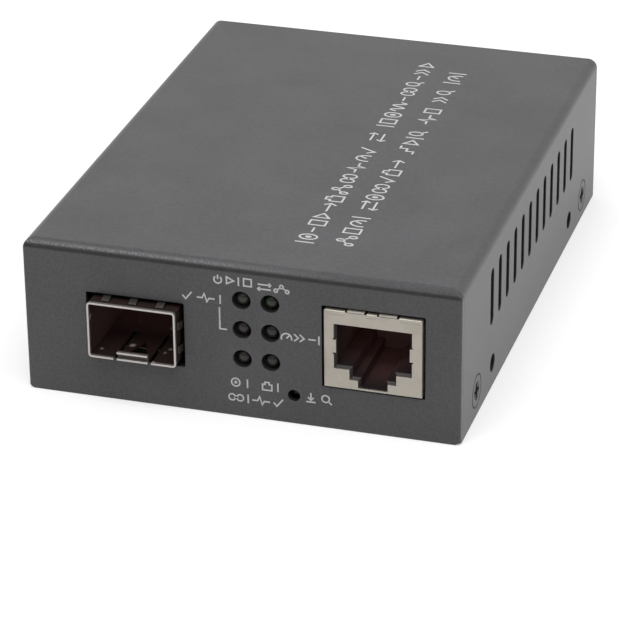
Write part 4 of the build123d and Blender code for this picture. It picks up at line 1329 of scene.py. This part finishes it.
@dataclass
class Print:
    """One printed mark: a thin closed film of ink that sits on a face."""

    name: str
    face: Face
    level: float
    pen: float = 0.24 * MM
    sunk: float = 0.01 * MM
    proud: float = 0.014 * MM
    narrow: float = 1.0
    mitre: float = 0.45
    outlines: list[list[list[Point]]] = field(default_factory=list)

    def draw(self, stroke: Stroke, at: Point, height: float) -> None:
        """Adds a stroke.

        Args:
            stroke: the stroke, in units of the height.
            at: its lower left corner on the face, in metres.
            height: the pictogram's height, in metres.
        """
        points = [Vector((at[0] + u * height * self.narrow, at[1] + v * height)) for u, v in stroke.points]
        if stroke.filled:
            self.outlines.append([[tuple(p) for p in points]])
        elif stroke.closed:
            self.outlines.append([self._side(points, 1, True), self._side(points, -1, True)])
        else:
            self.outlines.append([self._side(points, 1, False) + self._side(points, -1, False)[::-1]])

    def row(self, signs: Sequence[Pictogram], start: Point, length: float, height: float) -> None:
        """Sets pictograms in a row, evenly spaced over a length.

        Args:
            signs: the pictograms, in reading order.
            start: the row's lower left corner on the face, in metres.
            length: the row's length, in metres.
            height: the pictograms' height, in metres.
        """
        gaps = max(len(signs) - 1, 1)
        spare = (length - sum(sign.width for sign in signs) * height * self.narrow) / gaps
        left = start[0]
        for sign in signs:
            for stroke in sign.strokes:
                self.draw(stroke, (left, start[1]), height)
            left += sign.width * height * self.narrow + spare

    def _side(self, points: Sequence[Vector], side: int, closed: bool) -> list[Point]:
        """One side of a pen line, with mitred corners.

        Args:
            points: the line's points.
            side: 1 for its left side, -1 for its right.
            closed: whether the line closes.

        Returns:
            The points of that side.
        """
        count = len(points)
        found: list[Point] = []
        for i, point in enumerate(points):
            before = points[i - 1] if closed or i > 0 else None
            after = points[(i + 1) % count] if closed or i < count - 1 else None
            first = (point - before).normalized() if before is not None else (after - point).normalized()
            second = (after - point).normalized() if after is not None else first
            middle = (first + second).normalized()
            normal = Vector((-middle.y, middle.x))
            reach = self.pen / 2 / max(normal.dot(Vector((-first.y, first.x))), self.mitre)
            found.append(tuple(point + normal * reach * side))
        return found

    def build(self, finish: Finish, body: str) -> None:
        """Makes the film of ink.

        Args:
            finish: the ink.
            body: the body that it moves with.
        """
        mesh = bmesh.new()
        for loops in self.outlines:
            flat = [Vector((*p, 0.0)) for loop in loops for p in loop]
            levels = []
            for reach in (-self.sunk, self.proud):
                levels.append([mesh.verts.new(self._spot(p, reach)) for p in flat])
            for triangle in tessellate_polygon([[Vector((*p, 0.0)) for p in loop] for loop in loops]):
                a, b, c = (flat[i] for i in triangle)
                order = triangle if (b - a).cross(c - a).z > 0 else tuple(reversed(triangle))
                mesh.faces.new([levels[1][i] for i in order])
                mesh.faces.new([levels[0][i] for i in reversed(order)])
            first = 0
            for loop in loops:
                for i in range(len(loop)):
                    j = first + (i + 1) % len(loop)
                    mesh.faces.new([levels[0][first + i], levels[0][j], levels[1][j], levels[1][first + i]])
                first += len(loop)
        bmesh.ops.recalc_face_normals(mesh, faces=mesh.faces)
        data = bpy.data.meshes.new(self.name)
        mesh.to_mesh(data)
        mesh.free()
        piece = bpy.data.objects.new(self.name, data)
        bpy.context.scene.collection.objects.link(piece)
        data.materials.append(finish.material())
        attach(piece, body)
        LOG.info("print %s: %d strokes, %d faces", self.name, len(self.outlines), len(data.polygons))

    def _spot(self, point: Vector, reach: float) -> Vector:
        """A point on the face, raised by a reach."""
        return self.face.across * point.x + self.face.up * point.y + self.face.out * (self.level + reach)


@dataclass(frozen=True)
class Row:
    """One row of pictograms on a face, in millimetres."""

    name: str
    signs: tuple[Pictogram, ...]
    start: Point
    length: float
    height: float

    def set_on(self, mark: Print) -> None:
        """Draws the row on a mark and builds it.

        Args:
            mark: the mark, still without strokes.
        """
        start = (self.start[0] * MM, self.start[1] * MM)
        mark.row(self.signs, start, self.length * MM, self.height * MM)
        mark.build(INK, HOUSING)


COVER_COAT = CoverCoat("cover_powder_coat")
BASE_COAT = PowderCoat("base_powder_coat", skins=(BASE_REAR, BASE_UNDER))
SCREW = ScrewHead("cover_screw_coat")
BRIGHT = SheetMetal("bright_plated_steel", colour=(0.60, 0.59, 0.56), lay=Lay.EVEN, roughness=0.30)
SHIELD = SheetMetal(
    "jack_shield_plate",
    colour=(0.49, 0.455, 0.40),
    stain=(0.38, 0.352, 0.305),
    roughness=0.52,
    lay=Lay.ALONG_X,
)
# its dark colour is a painted shade: the collar sits in the shaded gap round the cage
SPRING = SheetMetal(
    "spring_strip",
    colour=(0.10, 0.09, 0.08),
    stain=(0.05, 0.045, 0.04),
    highlight_and_tone=(0.3, 0.28, 0.25),
    roughness=0.36,
)
GOLD = SheetMetal(
    "gold_plated_contact",
    colour=(0.80, 0.56, 0.22),
    stain=(0.62, 0.40, 0.14),
    roughness=0.28,
    grain=0.5 * MM,
)
PLASTIC = Moulding("black_moulding")
SOCKET = SocketMoulding("socket_moulding", colour=(0.012, 0.009, 0.009), highlight_and_tone=(0.028, 0.020, 0.020))
KNOB = Moulding("button_moulding", colour=(0.026, 0.025, 0.025), roughness=0.36, texture=0.1 * MM)
BOARD = SolderMask("board_solder_mask")
BARE_PACKAGE = ChipPackage("converter_package")
SMALL_CHIP = ChipPackage("small_chip", epoxy=(0.03, 0.028, 0.026), filler=(0.22, 0.16, 0.10))
FERRITE = Ferrite("inductor_ferrite")
INK = PrintInk("pale_print_ink")
HOUSING = "housing"


@dataclass
class SubAssembly:
    """Some nodes of the frame that are dressed together."""

    nodes: dict[str, bpy.types.Object]
    finishes: ClassVar[dict[str, Finish]] = {}

    def wear(self, name: str, finish: Finish) -> None:
        """Gives a node a finish.

        Args:
            name: the node's name.
            finish: the finish.
        """
        for slot in self.nodes[name].material_slots:
            slot.material = finish.material()
        LOG.info("node %s: %s", name, finish.name)

    def build(self) -> None:
        """Gives each node of the table its finish."""
        for name, finish in self.finishes.items():
            self.wear(name, finish)


@dataclass
class Housing(SubAssembly):
    """The folded cover, the base tray and their screws."""

    finishes: ClassVar[dict[str, Finish]] = {
        "cover": COVER_COAT,
        "base": BASE_COAT,
        "cover_screws": SCREW,
        "standoffs": BRIGHT,
        "board_screws": BRIGHT,
    }


@dataclass
class FrontPrint(SubAssembly):
    """The marks beside the indicators and the push button."""

    rows: tuple[Row, ...] = (
        Row("print_power", signs("POWER WEDGE BAR BOX"), (-4.0, 22.55), 6.2, 1.45),
        Row("print_duplex", signs("TWO_WAY NODES"), (3.1, 22.2), 5.0, 1.3775),
        Row("print_status", signs("TICK BEAT BAR"), (-9.1, 19.1), 6.3, 1.5),
        Row("print_speed", signs("DIAL FAST DASH BAR"), (6.65, 14.2), 6.2, 1.5),
        Row("print_fibre_port", signs("FIBRE BAR"), (-1.5, 5.15), 2.8, 1.5),
        Row("print_copper_port", signs("SOCKET BAR"), (3.5, 5.15), 2.7, 1.5),
        Row("print_link", signs("CHAIN BAR BEAT TICK"), (-2.0, 2.5), 8.9, 1.5),
        Row("print_test", signs("PRESS LENS"), (10.5, 4.1), 4.3, 1.65),
    )
    bracket: tuple[Point, ...] = ((-3.1, 18.5), (-3.1, 14.85), (-1.95, 14.85))

    def build(self) -> None:
        """Builds every mark of the front face."""
        level = -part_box("cover")[0].y
        for row in self.rows:
            row.set_on(Print(row.name, Face.FRONT, level))
        bracket = Print("print_status_line", Face.FRONT, level)
        bracket.draw(line(*self.bracket), (0.0, 0.0), MM)
        bracket.build(INK, HOUSING)


@dataclass
class TopPrint(SubAssembly):
    """The two rows of marks that run from front to back on the cover's top."""

    pen: float = 0.31 * MM
    proud: float = 0.01 * MM
    narrow: float = 0.64
    rows: tuple[Row, ...] = (
        Row(
            "print_top_row_one",
            signs(
                "BAR FIBRE DASH BOX WEDGE TO SOCKET NODES CHAIN BEAT DIAL TICK SPACE TWO_WAY SPACE "
                "BAR BOX FIBRE LIGHT DASH CHAIN LENS DASH FAST WEDGE"
            ),
            (-35.6, -8.9),
            74.2,
            3.1,
        ),
        Row(
            "print_top_row_two",
            signs(
                "NODES BOX DIAL BAR SPACE TWO_WAY FIBRE CHAIN TICK SOCKET TO SPACE STEPS WEDGE BAR LENS "
                "SPACE BEAT BOX SPACE FAST LENS SPACE BAR DIAL BAR"
            ),
            (-35.0, -14.9),
            70.6,
            3.1,
        ),
    )

    def build(self) -> None:
        """Builds both rows."""
        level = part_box("cover")[1].z
        for row in self.rows:
            row.set_on(Print(row.name, Face.TOP, level, self.pen, proud=self.proud, narrow=self.narrow))


@dataclass
class RearPrint(SubAssembly):
    """The direct-current sign and the polarity sign by the power inlet, in millimetres."""

    supply_at: Point = (-25.7, 20.6)
    supply_height: float = 2.0
    supply_pen: float = 0.38
    bar: float = 3.4
    bar_level: float = 0.8
    dash: float = 0.9
    dash_level: float = 0.25
    dash_pitch: float = 1.25
    dashes: int = 3
    polarity_level: float = 3.4
    polarity_pen: float = 0.26
    minus: float = -27.45
    cup: float = -22.5
    plus: float = -17.4
    ring_radius: float = 1.45
    cup_radius: float = 1.3
    cup_opening: Span = (50.0, 310.0)
    pin_radius: float = 0.62
    arm: float = 0.7

    def build(self) -> None:
        """Builds both signs."""
        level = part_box("base")[1].y
        self._supply(level)
        self._polarity(level)

    def _supply(self, level: float) -> None:
        """Builds a long line over three dashes.

        Args:
            level: how far back the rear panel's face lies, in metres.
        """
        mark = Print("print_direct_current", Face.REAR, level, self.supply_pen * MM)
        strokes = [line((0.0, self.bar_level), (self.bar, self.bar_level))]
        for i in range(self.dashes):
            left = self.dash_pitch * i
            strokes.append(line((left, self.dash_level), (left + self.dash, self.dash_level)))
        at = (self.supply_at[0] * MM, self.supply_at[1] * MM)
        for stroke in strokes:
            mark.draw(stroke, at, self.supply_height * MM)
        mark.build(INK, HOUSING)

    def _polarity(self, level: float) -> None:
        """Builds the sign of a plug whose pin is positive.

        Args:
            level: how far back the rear panel's face lies, in metres.
        """
        mark = Print("print_polarity", Face.REAR, level, self.polarity_pen * MM)
        z = self.polarity_level
        half = self.polarity_pen / 2
        minus, cup, plus = self.minus, self.cup, self.plus
        shapes = (
            ring((minus, z), self.ring_radius),
            line((minus - self.arm, z), (minus + self.arm, z)),
            Stroke(arc((cup, z), self.cup_radius, *self.cup_opening)),
            disc((cup, z), self.pin_radius),
            ring((plus, z), self.ring_radius),
            line((plus - self.arm, z), (plus + self.arm, z)),
            line((plus, z + self.arm), (plus, z + half)),
            line((plus, z - half), (plus, z - self.arm)),
            line((minus + self.ring_radius + half, z), (cup - self.cup_radius - half, z)),
            line((cup + self.pin_radius, z), (plus - self.ring_radius - half, z)),
        )
        for shape in shapes:
            mark.draw(shape, (0.0, 0.0), MM)
        mark.build(INK, HOUSING)


@dataclass
class ModuleBay(SubAssembly):
    """The cage for a plug-in module, its spring collar and its edge connector."""

    finishes: ClassVar[dict[str, Finish]] = {
        "sfp_spring_collar": SPRING,
        "sfp_connector": PLASTIC,
        "sfp_contacts": GOLD,
    }

    def build(self) -> None:
        """Fits the cage's finish to its box, and dresses the rest."""
        low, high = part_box("sfp_cage")
        self.wear("sfp_cage", CageMetal("cage_plate", low=low, high=high))
        super().build()


@dataclass
class NetworkJack(SubAssembly):
    """The shielded network jack."""

    finishes: ClassVar[dict[str, Finish]] = {
        "jack_shield": SHIELD,
        "jack_body": SOCKET,
        "jack_contacts": GOLD,
    }


@dataclass
class Indicators(SubAssembly):
    """Six indicators in two holders, with the tint of each resin at its crown and the painted shade in its
    depth.
    """

    finishes: ClassVar[dict[str, Finish]] = {
        "led_holder_left": PLASTIC,
        "led_holder_right": PLASTIC,
        "led_leads": BRIGHT,
    }
    # each indicator's tint, then its painted shade
    tints_and_shades: ClassVar[dict[str, tuple[Colour, Colour]]] = {
        "led_top_left": ((0.030, 0.034, 0.027), (0.006, 0.007, 0.005)),
        "led_top_right": ((0.024, 0.034, 0.018), (0.005, 0.008, 0.004)),
        "led_middle_left": ((0.032, 0.026, 0.024), (0.006, 0.004, 0.004)),
        "led_middle_right": ((0.028, 0.026, 0.030), (0.006, 0.004, 0.005)),
        "led_bottom_left": ((0.032, 0.028, 0.026), (0.005, 0.004, 0.004)),
        "led_bottom_right": ((0.031, 0.027, 0.025), (0.005, 0.004, 0.004)),
    }

    def build(self) -> None:
        """Dresses each indicator in its own resin, and then the rest."""
        for name, (tint, painted_deep) in self.tints_and_shades.items():
            self.wear(name, TintedResin(f"{name}_resin", tint=tint, painted_deep=painted_deep))
        super().build()


@dataclass
class PushButton(SubAssembly):
    """The small push switch behind the front."""

    finishes: ClassVar[dict[str, Finish]] = {
        "diag_switch_body": PLASTIC,
        "diag_switch_cover": BRIGHT,
        "diag_button": KNOB,
    }


@dataclass
class PowerInlet(SubAssembly):
    """The barrel power inlet."""

    finishes: ClassVar[dict[str, Finish]] = {
        "power_jack_body": PLASTIC,
        "power_jack_pin": BRIGHT,
        "power_jack_spring": BRIGHT,
    }


@dataclass
class BoardAndParts(SubAssembly):
    """The circuit board and what is soldered to it."""

    finishes: ClassVar[dict[str, Finish]] = {
        "circuit_board": BOARD,
        "converter_chip": BARE_PACKAGE,
        "chip_components": SMALL_CHIP,
        "power_inductor": FERRITE,
        "crystals": BRIGHT,
    }
    lead_reach: float = 1.0 * MM
    regulator_half: float = 1.75 * MM
    can_radius: float = 3.15 * MM
    middle_can: float = -8.99 * MM

    def leaded(self, node: str, name: str, half: float) -> ChipPackage:
        """The finish of packages with leads in front and behind.

        Args:
            node: the packages' node.
            name: the finish's name.
            half: half of the body's depth.

        Returns:
            The finish, fitted to the node.
        """
        low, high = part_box(node)
        centre = (low + high) / 2
        return ChipPackage(name, centre=(centre.x, centre.y), half=(NO_LEADS[0], half))

    def build(self) -> None:
        """Fits the finishes of packages and cans to their boxes, and dresses the rest."""
        for node in ("magnetics", "memory_chip"):
            low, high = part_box(node)
            half = (high.y - low.y) / 2 - self.lead_reach
            self.wear(node, self.leaded(node, f"{node}_package", half))
        self.wear("regulators", self.leaded("regulators", "regulator_package", self.regulator_half))
        low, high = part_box("capacitors")
        cans = (low.x + self.can_radius, self.middle_can, high.x - self.can_radius)
        self.wear("capacitors", CapacitorCan("capacitor_can", centres=cans))
        super().build()


def towards(azimuth: float, elevation: float) -> Vector:
    """The way from the object to a place round it.

    Args:
        azimuth: the angle from the front towards the right, in degrees.
        elevation: the angle above the floor, in degrees.

    Returns:
        The direction.
    """
    a, e = math.radians(azimuth), math.radians(elevation)
    return Vector((math.sin(a) * math.cos(e), -math.cos(a) * math.cos(e), math.sin(e)))


@dataclass
class Softbox:
    """One large soft lamp that faces the object."""

    name: str
    azimuth: float
    elevation: float
    distance: float = 1.1
    size: float = 0.9
    power: float = 6.0

    def build(self) -> None:
        """Hangs the lamp."""
        data = bpy.data.lights.new(self.name, "AREA")
        data.shape, data.size, data.energy = "SQUARE", self.size, self.power
        lamp = bpy.data.objects.new(self.name, data)
        bpy.context.scene.collection.objects.link(lamp)
        away = towards(self.azimuth, self.elevation)
        lamp.location = away * self.distance
        lamp.rotation_euler = away.to_track_quat("Z", "Y").to_euler()


@dataclass
class Studio:
    """Pale floor, pale surround and soft lamps."""

    surround: Colour = (0.77, 0.77, 0.77)
    shaded: Colour = (0.10, 0.10, 0.10)
    shaded_front: Span = (0.25, 0.8)
    shaded_up: Span = (0.2, 0.55)
    floor_colour: Colour = (0.56, 0.56, 0.56)
    floor_lift: float = 0.42
    mirrored: float = 0.6
    floor_size: float = 6.0
    lamps: tuple[Softbox, ...] = (
        Softbox("softbox_right", 88.0, 34.0, power=2.5),
        Softbox("softbox_over_camera", 2.0, 66.0, size=0.8, power=7.5),
    )

    def seen(self, sheet: Sheet) -> Val:
        """How much of its lift the floor shows to a ray.

        Args:
            sheet: the node sheet.

        Returns:
            1 for a ray from the camera or through glass, and less for one from gloss.
        """
        path = sheet.add("ShaderNodeLightPath", output="Is Camera Ray")
        return path | path.output("Is Transmission Ray") | path.output("Is Glossy Ray") * self.mirrored

    def build(self) -> None:
        """Builds the surround, the floor and the lamps."""
        self._surround()
        self._floor()
        for lamp in self.lamps:
            lamp.build()
            LOG.info("lamp %s", lamp.name)

    def _surround(self) -> None:
        """Lights the world: pale all round, dimmer low down in front, where the camera stands."""
        world = bpy.data.worlds.new("pale_surround")
        bpy.context.scene.world = world
        sheet = Sheet(world, "ShaderNodeOutputWorld")
        way = sheet.add("ShaderNodeTexCoord", output="Generated")
        front = 0.0 - sheet.add("ShaderNodeSeparateXYZ", sockets={0: way}, output=1)
        height = sheet.add("ShaderNodeSeparateXYZ", sockets={0: way}, output=2)
        low = front.rise(*self.shaded_front) & (1.0 - height.rise(*self.shaded_up))
        light = sheet.mix(self.surround, self.shaded, low)
        both = sheet.add("ShaderNodeBackground", sockets={"Color": light, "Strength": 1.0})
        sheet.show(both)

    def _floor(self) -> None:
        """Lays a plain floor that shows white and keeps the object's shadow."""
        sheet = Sheet.for_material("pale_floor")
        plain = sheet.add("ShaderNodeBsdfDiffuse", sockets={"Color": self.floor_colour})
        white = (1.0, 1.0, 1.0)
        lift = sheet.add("ShaderNodeEmission", sockets={"Color": white, "Strength": self.floor_lift})
        lifted = sheet.add("ShaderNodeAddShader", sockets={0: plain, 1: lift})
        both = sheet.add("ShaderNodeMixShader", sockets={0: self.seen(sheet), 1: plain, 2: lifted})
        sheet.show(both)
        half = self.floor_size / 2
        data = bpy.data.meshes.new("floor")
        corners = [(-half, -half, 0.0), (half, -half, 0.0), (half, half, 0.0), (-half, half, 0.0)]
        data.from_pydata(corners, [], [(0, 1, 2, 3)])
        data.materials.append(sheet.owner)
        floor = bpy.data.objects.new("floor", data)
        bpy.context.scene.collection.objects.link(floor)
        LOG.info("floor %.1f m square", self.floor_size)


@dataclass
class Eye:
    """The camera."""

    place: tuple[float, float, float] = (0.13907, -0.46188, 0.24039)
    azimuth: float = 17.062
    elevation: float = 26.872
    roll: float = -0.630
    focal: float = 3229.175
    picture: float = 621.0
    sensor: float = 36.0
    clip: Span = (0.01, 50.0)

    def build(self) -> None:
        """Sets the camera up."""
        r = math.radians(self.roll)
        back = towards(self.azimuth, self.elevation)
        right = (-back).cross(Vector((0.0, 0.0, 1.0))).normalized()
        up = right.cross(-back)
        right, up = right * math.cos(r) + up * math.sin(r), up * math.cos(r) - right * math.sin(r)
        data = bpy.data.cameras.new("eye")
        data.sensor_width, data.sensor_fit = self.sensor, "HORIZONTAL"
        data.lens = self.focal / self.picture * self.sensor
        data.clip_start, data.clip_end = self.clip
        camera = bpy.data.objects.new("eye", data)
        bpy.context.scene.collection.objects.link(camera)
        turn = Matrix((right, up, back)).transposed().to_4x4()
        camera.matrix_world = Matrix.Translation(Vector(self.place)) @ turn
        bpy.context.scene.camera = camera
        LOG.info("camera lens %.2f mm", data.lens)


def main() -> None:
    """Builds the scene in order."""
    logging.basicConfig(level=logging.INFO, format="%(message)s")
    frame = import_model()
    bpy.context.scene.view_settings.view_transform = "Standard"
    Eye().build()
    Studio().build()
    for kind in (
        Housing,
        FrontPrint,
        TopPrint,
        RearPrint,
        ModuleBay,
        NetworkJack,
        Indicators,
        PushButton,
        PowerInlet,
        BoardAndParts,
    ):
        kind(frame["nodes"]).build()


if __name__ == "__main__":
    main()
